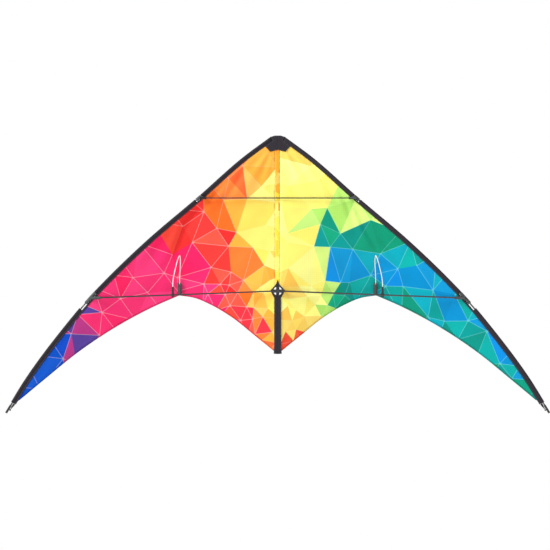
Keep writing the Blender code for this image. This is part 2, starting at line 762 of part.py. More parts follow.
def build():
    rod = new_material("carbon_rod", BLACK, 0.35)
    white_rod = new_material("white_rod", WHITE, 0.40)
    tape = new_material("woven_tape", BLACK, 0.85)
    rubber = new_material("rubber", (0.10, 0.10, 0.11), 0.60)
    moulded = new_material("moulded_plastic", (0.05, 0.05, 0.05), 0.40)
    brass = new_material("ferrule_metal", (0.70, 0.66, 0.55), 0.35, 1.0)
    left_cloth = new_material("left_ripstop", SAIL_PINK, 0.55)
    right_cloth = new_material("right_ripstop", SAIL_TEAL, 0.55)
    centre_cloth = new_material("centre_ripstop", (0.95, 0.75, 0.30), 0.55)

    spine_rod(rod)
    spine_cap(moulded)
    spine_sleeve("spine_sleeve_upper", 0.0160, 0.4050, centre_cloth)
    spine_sleeve("spine_sleeve_lower", -0.1480, -0.0160, centre_cloth)
    centre_tee(moulded)
    centre_patch(tape)
    nose_patch(tape)
    tail_strap(tape)
    upper_spreader(rod)
    upper_fitting_right(rubber)
    upper_fitting_left(rubber)

    both_wings(sail, "sail", right_cloth, left_cloth)
    both_wings(hem, "trailing_edge_hem", tape)
    both_wings(sleeve, "leading_edge_sleeve", tape)
    both_wings(standoff_patch, "standoff_patch", tape)
    both_wings(upper_rod, "upper_edge_rod", rod)
    both_wings(lower_rod, "lower_edge_rod", rod)
    both_wings(ferrule, "ferrule", brass)
    both_wings(lower_fitting, "lower_fitting", rubber)
    both_wings(lower_spreader, "lower_spreader", rod)
    both_wings(standoff_bow, "standoff_bow", white_rod)
    both_wings(standoff_socket, "standoff_socket", moulded)
    both_wings(trailing_edge_clip, "trailing_edge_clip", rubber)
    both_wings(tip_nock, "tip_nock", moulded)
    both_wings(tip_cord, "tip_cord", tape)
    assemble()


clear_scene()
PLACES = {}
PARTS = new_collection("delta_kite")
CUTTERS = new_collection("cutters")
build()
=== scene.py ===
# %% [markdown]
# # A two-line delta kite
# The kite is two wings of printed cloth, sewn to a narrow centre band and held flat by thin rods. The packed
# model is loaded as a fixed frame. It could be drawn again from nothing, but then nothing would say where each
# piece belongs, so the pieces below are placed by the frame, and most of them ride on one of its bodies.

# %% Load the frame
import json
from functools import reduce

import bmesh
import bpy
import numpy as np
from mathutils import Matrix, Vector
from mathutils.geometry import delaunay_2d_cdt


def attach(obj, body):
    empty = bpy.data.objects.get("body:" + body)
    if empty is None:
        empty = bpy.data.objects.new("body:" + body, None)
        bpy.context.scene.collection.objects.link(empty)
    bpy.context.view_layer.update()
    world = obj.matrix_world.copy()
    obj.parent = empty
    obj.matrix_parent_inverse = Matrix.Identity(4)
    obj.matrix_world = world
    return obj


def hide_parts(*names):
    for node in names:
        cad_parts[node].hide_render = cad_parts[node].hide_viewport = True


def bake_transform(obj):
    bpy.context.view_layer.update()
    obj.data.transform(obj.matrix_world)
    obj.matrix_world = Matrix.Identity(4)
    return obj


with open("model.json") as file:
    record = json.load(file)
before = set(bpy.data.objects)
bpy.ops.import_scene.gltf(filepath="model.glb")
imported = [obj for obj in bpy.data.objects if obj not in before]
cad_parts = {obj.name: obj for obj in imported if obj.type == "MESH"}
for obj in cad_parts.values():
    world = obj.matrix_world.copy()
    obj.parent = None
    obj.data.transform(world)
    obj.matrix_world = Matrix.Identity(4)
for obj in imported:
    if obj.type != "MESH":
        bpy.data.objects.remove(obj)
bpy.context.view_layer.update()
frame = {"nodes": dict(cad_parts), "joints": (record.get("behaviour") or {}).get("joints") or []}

# %% [markdown]
# ## The light and the floor
# The real kite hangs against plain white paper. A bright, even world does the work of the paper, and two large
# soft lamps give the folds a lighter and a darker side. The floor is a pale disc well below the kite.

# %% Colour and light
scene = bpy.context.scene
scene.view_settings.view_transform = "Standard"
PAPER_SEEN, PAPER_LIGHT = 1.0, 0.47  # the world's strength for the camera, and as light on the kite


def shade(red, green, blue):
    """A display colour from 0 to 255 as the linear colour that Blender's shaders take."""
    c = np.array([red, green, blue]) / 255
    return tuple(np.where(c <= 0.04045, c / 12.92, ((c + 0.055) / 1.055) ** 2.4))


def wire(value, socket):
    """Puts a number on a socket, or links another node's output to it."""
    if isinstance(value, bpy.types.NodeSocket):
        socket.id_data.links.new(value, socket)
    elif isinstance(value, tuple) and len(value) == 3 and socket.type == "RGBA":
        socket.default_value = (*value, 1.0)
    else:
        socket.default_value = value


def add(tree, kind, values=(), output=0, **settings):
    """Adds a node, fills its inputs by place or by name, and gives back one of its outputs."""
    node = tree.nodes.new("ShaderNode" + kind)
    for name, value in settings.items():
        setattr(node, name, value)
    for key, value in values.items() if isinstance(values, dict) else enumerate(values):
        wire(value, node.inputs[key])
    return node.outputs[output]


world = bpy.data.worlds.new("white paper")
world.use_nodes = True
sky = world.node_tree
sky.nodes.clear()
dim, bright = (add(sky, "Background", ((1.0, 1.0, 1.0), level)) for level in (PAPER_LIGHT, PAPER_SEEN))
both = add(sky, "MixShader", (add(sky, "LightPath"), dim, bright))
wire(both, sky.nodes.new("ShaderNodeOutputWorld").inputs["Surface"])
scene.world = world


def lamp(name, place, target, size, power):
    data = bpy.data.lights.new(name, "AREA")
    data.shape, data.size, data.energy = "DISK", size, power
    obj = bpy.data.objects.new(name, data)
    obj.location = place
    obj.rotation_euler = (Vector(target) - Vector(place)).to_track_quat("-Z", "Y").to_euler()
    scene.collection.objects.link(obj)


lamp("key", (-2.6, -1.5, 2.0), (0, 0, 0.05), 1.7, 128)
lamp("fill", (0.9, -3.1, -0.8), (0, 0, 0.0), 1.8, 34)

# %% [markdown]
# ## The camera
# The kite is seen square on. A long lens from five metres keeps the far wing tip the same size as the near one.

# %% Camera
LENS, SENSOR, FRAME_WIDTH = 120.0, 36.0, 1.4610
CENTRE_OF_VIEW = (-0.0072, 0.0425)
eye = bpy.data.cameras.new("eye")
eye.lens, eye.sensor_width = LENS, SENSOR
camera = bpy.data.objects.new("eye", eye)
camera.location = (CENTRE_OF_VIEW[0], -FRAME_WIDTH * LENS / SENSOR, CENTRE_OF_VIEW[1])
camera.rotation_euler = (np.pi / 2, 0, 0)
scene.collection.objects.link(camera)
scene.camera = camera
print("camera", [round(v, 3) for v in camera.location])

# %% [markdown]
# ## The measures
# All lengths are in metres. The leading edge is the curve of the rods from the nose to a wing tip, and most
# pieces are placed by how far along it they lie. A smooth curve through a few points is what a bent rod takes.

# %% Measures
fold = next(j for j in frame["joints"] if j["name"] == "right_wing_fold")
SEAM_X, SAIL_Y = fold["pos_m"][0], fold["pos_m"][1]
LEADING_EDGE = ((0.0185, 0.4060), (0.0845, 0.3575), (0.2090, 0.2485), (0.3520, 0.1265), (0.4570, 0.0255),
                (0.4995, -0.0190), (0.5745, -0.1085), (0.6705, -0.2385), (0.7235, -0.3250))
UPPER_FITTING_AT, LOWER_FITTING_AT, ROD_JOINT_AT, SLEEVE_END_AT = 0.2438, 0.6284, 0.5740, 0.9680
ROD, THIN_ROD, BOW_ROD = 0.0020, 0.0016, 0.0011
SLEEVE_RADIUS, SLEEVE_WIDTH = 0.0042, (0.0125, 0.0150)
CUSP, TAIL_Z, WING_TIP_X, BILLOW = (0.2650, -0.0125), -0.1630, 0.6960, 0.0520
INNER_TRAILING_EDGE = ((SEAM_X, TAIL_Z), (0.0600, -0.1200), (0.1230, -0.0705), (0.1810, -0.0365),
                       (0.2220, -0.0195), CUSP)
OUTER_TRAILING_EDGE = (CUSP, (0.3300, -0.0410), (0.4300, -0.0945), (0.5300, -0.1610), (0.6260, -0.2390),
                       (0.6975, -0.2990))
HOLE_RADIUS = 0.0115
HEM_WIDTH = 0.0050


def smooth_path(stations, count):
    """Points evenly spaced along a curve through the stations: between two stations a cubic leaves and
    arrives with the slope of its neighbours."""
    points = np.array(stations, float)
    at = np.concatenate([[0.0], np.cumsum(np.linalg.norm(np.diff(points, axis=0), axis=1))])
    slopes = np.gradient(points, at, axis=0)
    wanted = np.linspace(0.0, at[-1], count)
    i = np.clip(np.searchsorted(at, wanted, side="right") - 1, 0, len(at) - 2)
    span = (at[i + 1] - at[i])[:, None]
    t = ((wanted - at[i]) / (at[i + 1] - at[i]))[:, None]
    return ((2 * t**3 - 3 * t**2 + 1) * points[i] + (t**3 - 2 * t**2 + t) * span * slopes[i]
            + (3 * t**2 - 2 * t**3) * points[i + 1] + (t**3 - t**2) * span * slopes[i + 1])


EDGE = smooth_path(LEADING_EDGE, 400)
EDGE_LENGTH = float(np.linalg.norm(np.diff(EDGE, axis=0), axis=1).sum())
TRAILING_EDGE = np.concatenate([smooth_path(INNER_TRAILING_EDGE, 60), smooth_path(OUTER_TRAILING_EDGE, 90)[1:]])


def along_edge(shares, inward=0.0, y=0.0):
    """Places on the leading edge, moved inwards across it in the plane of the sail and forward or back by y,
    with the direction towards the tip."""
    shares, inward, y = np.broadcast_arrays(np.atleast_1d(shares), inward, y)
    at = np.clip(shares, 0.0, 1.0) * (len(EDGE) - 1)
    low = np.clip(np.floor(at).astype(int), 0, len(EDGE) - 2)
    step = EDGE[low + 1] - EDGE[low]
    way = step / np.linalg.norm(step, axis=-1, keepdims=True)
    place = EDGE[low] + (at - low)[..., None] * step
    x, z = place[..., 0] + inward * way[..., 1], place[..., 1] - inward * way[..., 0]
    return np.stack([x, SAIL_Y + y, z], -1), np.stack([way[..., 0], 0 * y, way[..., 1]], -1)


def share_of(length):
    return length / EDGE_LENGTH


def sleeve_width(share):
    return SLEEVE_WIDTH[0] + (SLEEVE_WIDTH[1] - SLEEVE_WIDTH[0]) * share


shares_all = np.linspace(0, 1, 400)
SLEEVE_INNER = along_edge(shares_all, sleeve_width(shares_all) - SLEEVE_RADIUS)[0][:, [0, 2]]


def top_at(x):
    """The height of the sleeve's inner edge, read straight between its points."""
    return np.interp(x, SLEEVE_INNER[:, 0], SLEEVE_INNER[:, 1])


def bottom_at(x):
    """The height of the trailing edge, read the same way."""
    return np.interp(x, TRAILING_EDGE[:, 0], TRAILING_EDGE[:, 1])


def soft_step(value, low, high):
    """Nought below low, one above high, and a smooth rise between them."""
    t = np.clip((value - low) / (high - low), 0.0, 1.0)
    return t * t * (3 - 2 * t)


def billow(x, z):
    """How far back the cloth lies: none at the seam and the leading edge, most where the stand-off pushes."""
    share = np.clip((top_at(x) - z) / np.maximum(top_at(x) - bottom_at(x), 1e-6), 0, 1)
    inside = (x - SEAM_X) / (CUSP[0] - SEAM_X)
    outside = (WING_TIP_X - x) / (WING_TIP_X - CUSP[0])
    along = np.clip(np.minimum(inside, outside), 0, 1)
    return BILLOW * (0.35 * np.sin(along * np.pi / 2) + 0.65 * along) * share ** 1.15


print("leading edge", round(EDGE_LENGTH, 4), "m; cloth's deepest point", round(float(billow(*map(np.array, CUSP))), 4))

# %% [markdown]
# ## Ways to make a surface
# Most pieces are a profile carried along a path: a rod is a circle along a line, and a sleeve is a folded tape
# along a curve. Each is a grid of points, worked out at once, and one helper turns a grid into a mesh. The
# cloth coordinates of a piece, in metres along and across it, go into its UV map so that a weave can follow it.

# %% Mesh helpers
def finish_mesh(mesh, material, body=None, replaces=(), angle=40.0):
    """Smooths a mesh, gives it its material and hangs it on the body that it moves with."""
    mesh.shade_smooth()
    mesh.set_sharp_from_angle(angle=np.radians(angle))
    obj = bpy.data.objects.new(mesh.name, mesh)
    scene.collection.objects.link(obj)
    mesh.materials.clear()
    mesh.materials.append(material)
    if body:
        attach(obj, body)
    if replaces:
        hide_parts(*replaces)
    return obj


def outward(mesh, distance=1e-7):
    """Welds doubled points and turns every face of a closed shape outwards."""
    work = bmesh.new()
    work.from_mesh(mesh)
    bmesh.ops.remove_doubles(work, verts=work.verts, dist=distance)
    bmesh.ops.recalc_face_normals(work, faces=work.faces)
    work.to_mesh(mesh)
    work.free()
    return mesh


def places_of(mesh):
    """All of a mesh's points at once."""
    co = np.empty(len(mesh.vertices) * 3)
    mesh.vertices.foreach_get("co", co)
    return co.reshape(-1, 3)


def close_middle(mesh, longest):
    """Fills the small hole in the middle of a disc made of rings: the hole whose sides are all short."""
    work = bmesh.new()
    work.from_mesh(mesh)
    bmesh.ops.holes_fill(work, edges=[e for e in work.edges if e.is_boundary and e.calc_length() < longest], sides=0)
    work.to_mesh(mesh)
    work.free()


def grid_mesh(name, grid, along=None, across=None, around=False, capped=False, keep=None, flip=False):
    """A mesh from rows of points. along and across are each row's and each column's place in metres, for the
    UV map; around joins the last column to the first, and keep says which faces stay."""
    rows, columns = grid.shape[:2]
    wide = columns if around else columns - 1
    i, j = np.meshgrid(np.arange(rows - 1), np.arange(wide), indexing="ij")
    after = (j + 1) % columns
    quads = np.stack([i * columns + j, i * columns + after, (i + 1) * columns + after, (i + 1) * columns + j], -1)
    along = np.arange(rows, dtype=float) if along is None else np.asarray(along, float)
    across = np.arange(columns + 1, dtype=float) if across is None else np.asarray(across, float)
    u = np.stack([along[i], along[i], along[i + 1], along[i + 1]], -1)
    v = np.stack([across[j], across[j + 1], across[j + 1], across[j]], -1)
    quads, uv = quads.reshape(-1, 4), np.stack([u, v], -1).reshape(-1, 4, 2)
    if keep is not None:
        quads, uv = quads[keep.ravel()], uv[keep.ravel()]
    if flip:
        quads, uv = quads[:, ::-1], uv[:, ::-1]
    faces = quads.tolist()
    if capped:
        faces += [list(range(columns))[::-1], list(range((rows - 1) * columns, rows * columns))]
        ends = np.tile([[along[0], across[0]]], (columns, 1)), np.tile([[along[-1], across[0]]], (columns, 1))
        uv = np.concatenate([uv.reshape(-1, 2), *ends])
    mesh = bpy.data.meshes.new(name)
    mesh.from_pydata(grid.reshape(-1, 3).tolist(), [], faces)
    mesh.uv_layers.new(name="cloth").data.foreach_set("uv", uv.astype(np.float32).ravel())
    return mesh


def carried(path, profile, facing=(0.0, 1.0, 0.0)):
    """The profile's points (sideways, up) set across the path at each of its points. The sideways direction is
    square to the path and to facing, and the profile may differ from row to row."""
    path, profile = np.asarray(path, float), np.asarray(profile, float)
    way = np.gradient(path, axis=0)
    way /= np.linalg.norm(way, axis=1, keepdims=True)
    side = np.cross(way, np.asarray(facing, float))
    side /= np.linalg.norm(side, axis=1, keepdims=True)
    up = np.cross(side, way)
    profile = np.broadcast_to(profile, (len(path),) + profile.shape[-2:])
    return path[:, None] + profile[..., :1] * side[:, None] + profile[..., 1:] * up[:, None]


def ring(count, radius=1.0):
    angle = np.arange(count) / count * 2 * np.pi
    return np.stack([np.cos(angle), np.sin(angle)], -1) * radius


def lengths(path):
    """How far along a path each of its points is."""
    return np.concatenate([[0.0], np.cumsum(np.linalg.norm(np.diff(path, axis=0), axis=1))])


def rod_mesh(name, path, radius, sides=24, rounding=0.0004):
    """A round rod along a path, its ends closed with a small rounded edge: the radius goes from nearly nothing
    to full within the rounding's length."""
    path = np.asarray(path, float)
    way_in = (path[1] - path[0]) / np.linalg.norm(path[1] - path[0])
    way_out = (path[-1] - path[-2]) / np.linalg.norm(path[-1] - path[-2])
    middle = path[1:-1]
    rows = np.concatenate([[path[0], path[0] + way_in * rounding * 0.3, path[0] + way_in * rounding], middle,
                           [path[-1] - way_out * rounding, path[-1] - way_out * rounding * 0.3, path[-1]]])
    size = np.full(len(rows), radius)
    size[[0, -1]], size[[1, -2]] = radius - rounding, radius - rounding * 0.3
    way = np.abs(rows[-1] - rows[0])
    facing = (0.0, 1.0, 0.0) if way[1] < way.max() else (1.0, 0.0, 0.0)
    grid = carried(rows, ring(sides)[None] * size[:, None, None], facing)
    around = np.arange(sides + 1) / sides * 2 * np.pi * radius
    return outward(grid_mesh(name, grid, lengths(rows), around, around=True, capped=True))


def mirrored(points, side):
    """The same points on the right wing, or mirrored for the left one."""
    return np.asarray(points, float) * np.array([side, 1.0, 1.0])


SIDES = (("left", -1), ("right", 1))
print("helpers ready")

# %% [markdown]
# ## Effects that several finishes share
# A woven tape, a printed cloth and a sewn patch all need threads and stitches, and every hard piece needs fine
# grain and a little wear. Each effect is built once as a node group, which puts out only a height or a mask, and
# each material places it with its own sizes.

# %% Node groups
def home(*values):
    """The node tree that the first socket among the values belongs to."""
    return next(v.id_data for v in values if isinstance(v, bpy.types.NodeSocket))


def maths(operation):
    """A function that adds one kind of maths node to its values' own tree."""
    return lambda *values: add(home(*values), "Math", values, operation=operation)


plus, minus, times, over, least, most, under, fold_back, size_of, sine, whole, part_of = map(maths, (
    "ADD", "SUBTRACT", "MULTIPLY", "DIVIDE", "MINIMUM", "MAXIMUM", "LESS_THAN", "PINGPONG", "ABSOLUTE", "SINE",
    "FLOOR", "FRACT"))


def ramp(value, low, high, out_low=0.0, out_high=1.0):
    return add(home(value), "MapRange", (value, low, high, out_low, out_high))


def scaled(vector, amount):
    return add(home(vector), "VectorMath", {0: vector, 3: amount}, operation="SCALE")


def noise(vector, scale, detail=2.0, roughness=0.5):
    return add(home(vector), "TexNoise", {"Vector": vector, "Scale": scale, "Detail": detail, "Roughness": roughness})


def split(vector):
    node = home(vector).nodes.new("ShaderNodeSeparateXYZ")
    wire(vector, node.inputs[0])
    return node.outputs


def group(name, inputs, outputs):
    """A new node group with named inputs, given with their defaults (none for a vector), and named outputs."""
    tree = bpy.data.node_groups.new(name, "ShaderNodeTree")
    for title, value in inputs.items():
        kind = "NodeSocketVector" if value is None else "NodeSocketFloat"
        made = tree.interface.new_socket(name=title, in_out="INPUT", socket_type=kind)
        if value is not None:
            made.default_value = value
    for title in outputs:
        tree.interface.new_socket(name=title, in_out="OUTPUT", socket_type="NodeSocketFloat")
    return tree, tree.nodes.new("NodeGroupInput").outputs, tree.nodes.new("NodeGroupOutput").inputs


def use(made, **values):
    """Adds a node that runs a node group, and gives back its outputs."""
    node = home(*values.values()).nodes.new("ShaderNodeGroup")
    node.node_tree = made
    for key, value in values.items():
        wire(value, node.inputs[key])
    return node.outputs


def plain_weave():
    """Threads over and under each other: in every second cell the thread along shows, in the others the thread
    across, and each is as high as the sine of its place in the cell."""
    tree, given, out = group("plain weave", {"Vector": None, "Pitch": 0.0005}, ["Height"])
    u, v, _ = split(scaled(given["Vector"], over(1.0, given["Pitch"])))
    odd = fold_back(plus(whole(u), whole(v)), 1.0)
    warp, weft = (size_of(sine(times(place, np.pi))) for place in (u, v))
    wire(add(tree, "Mix", {0: odd, 2: warp, 3: weft}), out[0])
    return tree


def ripstop_grid():
    """The thicker threads woven in at every few millimetres both ways, as a mask of thin lines."""
    tree, given, out = group("ripstop grid", {"Vector": None, "Spacing": 0.005, "Width": 0.05}, ["Mask"])
    u, v, _ = split(scaled(given["Vector"], over(1.0, given["Spacing"])))
    wire(most(*(under(fold_back(place, 0.5), given["Width"]) for place in (u, v))), out[0])
    return tree


def stitch_row():
    """A row of stitches: a thread on the line Across = 0, hidden for part of every stitch's length."""
    tree, given, out = group("stitch row", {"Along": 0.0, "Across": 0.0, "Length": 0.003, "Thickness": 0.0005},
                             ["Mask"])
    middle = size_of(minus(part_of(over(given["Along"], given["Length"])), 0.5))
    narrow = times(given["Thickness"], minus(1.0, times(middle, 1.1)))
    wire(times(under(size_of(given["Across"]), narrow), under(middle, 0.36)), out[0])
    return tree


def handled():
    """Wear: broad patches of slight soiling and small scuffs, from two sizes of noise."""
    tree, given, out = group("handled", {"Vector": None, "Size": 0.03}, ["Patches", "Scuffs"])
    scale = over(1.0, given["Size"])
    wire(noise(given["Vector"], scale, 3.0), out[0])
    wire(ramp(noise(given["Vector"], times(scale, 9.0), 5.0, 0.65), 0.60, 0.74), out[1])
    return tree


def fine_grain():
    """The fine skin of a moulded or rubber piece: two sizes of noise added as a height."""
    tree, given, out = group("fine grain", {"Vector": None, "Size": 0.0006}, ["Height"])
    scale = over(1.0, given["Size"])
    wire(plus(noise(given["Vector"], scale), noise(given["Vector"], times(scale, 0.2))), out[0])
    return tree


WEAVE, RIPSTOP, STITCHES, HANDLED, GRAIN = plain_weave(), ripstop_grid(), stitch_row(), handled(), fine_grain()
print("groups:", [g.name for g in bpy.data.node_groups])

# %% [markdown]
# ## The finishes
# Kite cloth is thin polyester with a printed face: bright, slightly glossy and crossed by thicker threads. The
# tape is a stiff dark weave. The rods are drawn carbon and white glass fibre with fine lines along them, and the
# fittings are rubber and moulded plastic. Each finish gets its colour, roughness and bump from nodes.

# %% Material helper
def finish(name, roughness, **uniform):
    """A new material and its node tree, with the same-all-over values set on the shader's own sockets."""
    material = bpy.data.materials.new(name)
    material.use_nodes = True
    to = material.node_tree.nodes["Principled BSDF"].inputs
    to["Roughness"].default_value = roughness
    for title, value in uniform.items():
        to[title.replace("_", " ")].default_value = value
    return material, material.node_tree


def dress(material, colour, rough=None, height=None, distance=0.0, strength=0.6):
    """Links a material's colour, roughness and bump to its shader."""
    tree = material.node_tree
    to = tree.nodes["Principled BSDF"].inputs
    wire(colour, to["Base Color"])
    if rough is not None:
        wire(rough, to["Roughness"])
    if height is not None:
        wire(add(tree, "Bump", {"Height": height, "Distance": distance, "Strength": strength}), to["Normal"])
    return material


def mix(amount, low, high):
    """A colour between two others."""
    return add(home(amount, low, high), "Mix", {0: amount, 6: low, 7: high}, 2, data_type="RGBA")


def cloth_place(tree):
    return add(tree, "UVMap", uv_map="cloth")


def object_place(tree):
    return add(tree, "TexCoord", output=3)


def attribute(tree, name, output=0):
    return add(tree, "Attribute", output=output, attribute_name=name)


# %% [markdown]
# ### Printed ripstop
# The print is a mosaic of flat triangles with thin pale lines along some of their sides and a small star where
# lines meet. Every corner of the cloth's mesh knows its facet's colour and how far it is from the facet's three
# sides, so the shader needs only the smallest of the three for a line, and the second smallest for a star.

# %% Printed ripstop
LINE_PALENESS = 0.66  # how far from the facet's colour to the pale tone a line's own colour lies
LINE_SHARE = 0.6  # how strong a line is beside a star
THREAD_PITCH = 0.0007


def printed_cloth(name, line_tone, line_width, star):
    """The facets' colours, with pale lines and stars, slight unevenness and the ripstop's thicker threads."""
    material, tree = finish(name, 0.6, Specular_IOR_Level=0.09, Sheen_Weight=0.02, Sheen_Roughness=0.4)
    colour, strength = attribute(tree, "print"), attribute(tree, "line_strength", 2)
    a, b, c = split(attribute(tree, "facet_sides", 1))
    first, last = least(a, b), most(a, b)
    nearest, second = least(first, c), least(last, most(first, c))
    line = ramp(nearest, line_width * 0.5, line_width, 1.0, 0.0)
    spark = ramp(second, star * 0.2, star, 1.0, 0.0)
    pale = times(most(times(line, LINE_SHARE), spark), strength)
    place = cloth_place(tree)
    patches = use(HANDLED, Vector=place, Size=0.09)[0]
    threads = use(WEAVE, Vector=place, Pitch=THREAD_PITCH)[0]
    thick = use(RIPSTOP, Vector=place, Spacing=0.0055, Width=0.05)[0]
    tint = times(ramp(patches, 0.3, 0.7, 0.94, 1.05), minus(1.0, times(thick, 0.07)))
    printed = mix(pale, colour, mix(LINE_PALENESS, colour, line_tone))
    return dress(material, scaled(printed, tint), ramp(patches, 0.3, 0.7, 0.48, 0.62),
                 plus(times(threads, 0.35), thick), 0.00012, 0.5)


PRINT = {"left": printed_cloth("printed ripstop, warm", (1.0, 0.86, 0.84), 0.0010, 0.0030),
         "right": printed_cloth("printed ripstop, cool", (0.34, 1.0, 1.0), 0.0010, 0.0030),
         "centre": printed_cloth("printed ripstop, centre", (1.0, 0.90, 0.60), 0.0004, 0.0008)}
print("cloths:", list(PRINT))

# %% [markdown]
# ### Woven tape, cord, rods, rubber and plastic
# A dark tape takes a lighter tone where its threads are rubbed, and its stitches are a shade lighter than it is.

# %% Other finishes
TAPE_DARK, TAPE_LIGHT, THREAD = shade(30, 27, 33), shade(54, 49, 57), shade(84, 79, 87)


def woven_tape(name, stitch_lines, sewn_by_edge=False):
    """Woven tape with rows of stitches, at distances from the UV's across = 0 or from the cut edge."""
    material, tree = finish(name, 0.8, Specular_IOR_Level=0.18, Sheen_Weight=0.06, Sheen_Roughness=0.5)
    place = cloth_place(tree)
    threads = use(WEAVE, Vector=place, Pitch=0.0009)[0]
    patches, scuffs = use(HANDLED, Vector=object_place(tree), Size=0.05)
    along, across, _ = split(place)
    if sewn_by_edge:
        along, across = attribute(tree, "edge_along", 2), attribute(tree, "edge_distance", 2)
    colour = mix(times(scuffs, 0.25), mix(times(plus(threads, patches), 0.5), TAPE_DARK, TAPE_LIGHT), THREAD)
    height = threads
    if stitch_lines:
        sewn = reduce(most, [use(STITCHES, Along=along, Across=minus(across, line))[0] for line in stitch_lines])
        colour, height = mix(sewn, colour, THREAD), plus(times(threads, 0.5), sewn)
    return dress(material, colour, ramp(patches, 0.3, 0.7, 0.70, 0.86), height, 0.00025, 0.7)


def drawn_rod(name, dark, light, roughness, coat):
    """A drawn fibre rod: fine lines along it, which its UV map's long way stretches out of a noise."""
    material, tree = finish(name, roughness, Coat_Weight=coat, Coat_Roughness=0.15)
    fibres = noise(add(tree, "Mapping", {"Vector": cloth_place(tree), "Scale": (14.0, 2600.0, 1.0)}), 1.0, 3.0)
    scuffs = use(HANDLED, Vector=object_place(tree), Size=0.03)[1]
    colour = mix(times(scuffs, 0.3), mix(ramp(fibres, 0.35, 0.65), dark, light), shade(150, 146, 142))
    return dress(material, colour, ramp(fibres, 0.0, 1.0, roughness - 0.08, roughness + 0.10), fibres, 0.00004, 0.5)


def moulded(name, dark, light, roughness, grain, **uniform):
    """Rubber or moulded plastic: a fine skin, dusty patches and pale scuffs."""
    material, tree = finish(name, roughness, **uniform)
    place = object_place(tree)
    patches, scuffs = use(HANDLED, Vector=place, Size=0.012)
    return dress(material, mix(times(scuffs, 0.35), mix(patches, dark, light), shade(128, 126, 128)),
                 ramp(patches, 0.3, 0.7, roughness - 0.08, roughness + 0.1),
                 use(GRAIN, Vector=place, Size=grain)[0], 0.00006)


def braided(name, dark, light):
    """A braided cord: two sets of slanted strands that cross."""
    material, tree = finish(name, 0.75, Sheen_Weight=0.2)
    u, v, _ = split(cloth_place(tree))
    strands = most(*(sine(times(slant, 5200.0)) for slant in (plus(u, v), minus(u, v))))
    return dress(material, mix(ramp(strands, -0.2, 1.0), dark, light), None, strands, 0.0001, 0.8)


def brushed_metal(name, dark, light):
    """A cut tube of thin metal with turning marks round it."""
    material, tree = finish(name, 0.35, Metallic=1.0)
    rings = noise(add(tree, "Mapping", {"Vector": object_place(tree), "Scale": (900.0, 60.0, 900.0)}), 1.0)
    return dress(material, mix(rings, dark, light), ramp(rings, 0.0, 1.0, 0.25, 0.45))


SLEEVE_TAPE, PATCH_TAPE = woven_tape("leading edge tape", (0.0022,)), woven_tape("patch tape", (0.0020,), True)
STRAP_TAPE, TUNNEL_TAPE = woven_tape("strap webbing", (-0.0038, 0.0038)), woven_tape("tunnel tape", (-0.0085, 0.0085))
CUSP_TAPE = woven_tape("cusp tape", ())
CARBON = drawn_rod("drawn carbon", shade(26, 24, 27), shade(48, 45, 49), 0.32, 0.5)
GLASS = drawn_rod("white glass fibre", shade(232, 226, 220), shade(250, 246, 242), 0.42, 0.15)
RUBBER = moulded("rubber", shade(52, 56, 57), shade(74, 79, 80), 0.50, 0.0005, Specular_IOR_Level=0.5)
PLASTIC = moulded("moulded plastic", shade(30, 29, 31), shade(46, 45, 48), 0.38, 0.0004)
CORD = braided("braided cord", shade(24, 23, 26), shade(50, 48, 52))
BRASS = brushed_metal("brass tube", shade(176, 158, 110), shade(216, 202, 160))
print("materials:", len(bpy.data.materials))

# %% [markdown]
# ## The printed cloth
# The print could be drawn in the shader alone, but a mosaic of uneven triangles isn't a regular pattern. Instead a
# loose lattice of points is joined into triangles, each triangle takes a colour by where it lies, and the cloth's
# own mesh is cut along the triangles' sides, so that every colour ends in a sharp straight line.

# %% Mosaic helpers
def lattice(rng, low, high, spacing, jitter):
    """Points in rows, every second row set over by half, each moved by a random part of the spacing."""
    z, x = np.meshgrid(np.arange(low[1], high[1], spacing * 0.87), np.arange(low[0], high[0], spacing), indexing="ij")
    x = x + 0.5 * spacing * (np.arange(x.shape[0]) % 2)[:, None]
    points = np.stack([x, z], -1).reshape(-1, 2)
    return points + rng.uniform(-jitter, jitter, points.shape) * spacing


def triangles_of(points, edges=(), near=1e-7):
    """Joins flat points into triangles, which follow the given edges."""
    made = delaunay_2d_cdt([Vector(p) for p in points], edges, [], 0, near)
    return np.array([list(v) for v in made[0]]), np.array([list(f) for f in made[2]])


def doubled_area(flat, faces):
    """Twice each triangle's area, from its sides' cross product, and below nought when it turns clockwise."""
    corners = flat[faces]
    return np.cross(corners[:, 1] - corners[:, 0], corners[:, 2] - corners[:, 0])


def mosaic(rng, points, paint, drawn):
    """Joins points into facets. paint gives each facet's colour and its line strength from its middle, and
    drawn is the chance that a side carries a line."""
    corners, facets = triangles_of(points)
    facets = np.where(doubled_area(corners, facets)[:, None] > 0, facets, facets[:, ::-1])
    colours, strength = paint(rng, corners[facets].mean(1))
    sides = np.sort(np.stack([facets, np.roll(facets, -1, 1)], -1), -1)
    edges, which = np.unique(sides.reshape(-1, 2), axis=0, return_inverse=True)
    shown = rng.random(len(edges)) < drawn
    return {"corners": corners, "facets": facets, "colours": colours, "strength": strength, "edges": edges,
            "shown": shown[which.reshape(-1, 3)]}


def heights_in(made, facet, places):
    """Distances of places from the three sides of their facet, positive inside it."""
    a = made["corners"][made["facets"][facet]]
    b = np.roll(a, -1, axis=-2)
    way = (b - a) / np.linalg.norm(b - a, axis=-1, keepdims=True)
    off = places[..., None, :] - a
    return way[..., 0] * off[..., 1] - way[..., 1] * off[..., 0]


def facet_of(made, places):
    """The facet that each place lies in: the one whose smallest side distance is the largest."""
    best, found = np.full(len(places), -1e9), np.zeros(len(places), int)
    for k in range(len(made["facets"])):
        inside = heights_in(made, k, places).min(-1)
        better = inside > best
        best, found = np.where(better, inside, best), np.where(better, k, found)
    return found


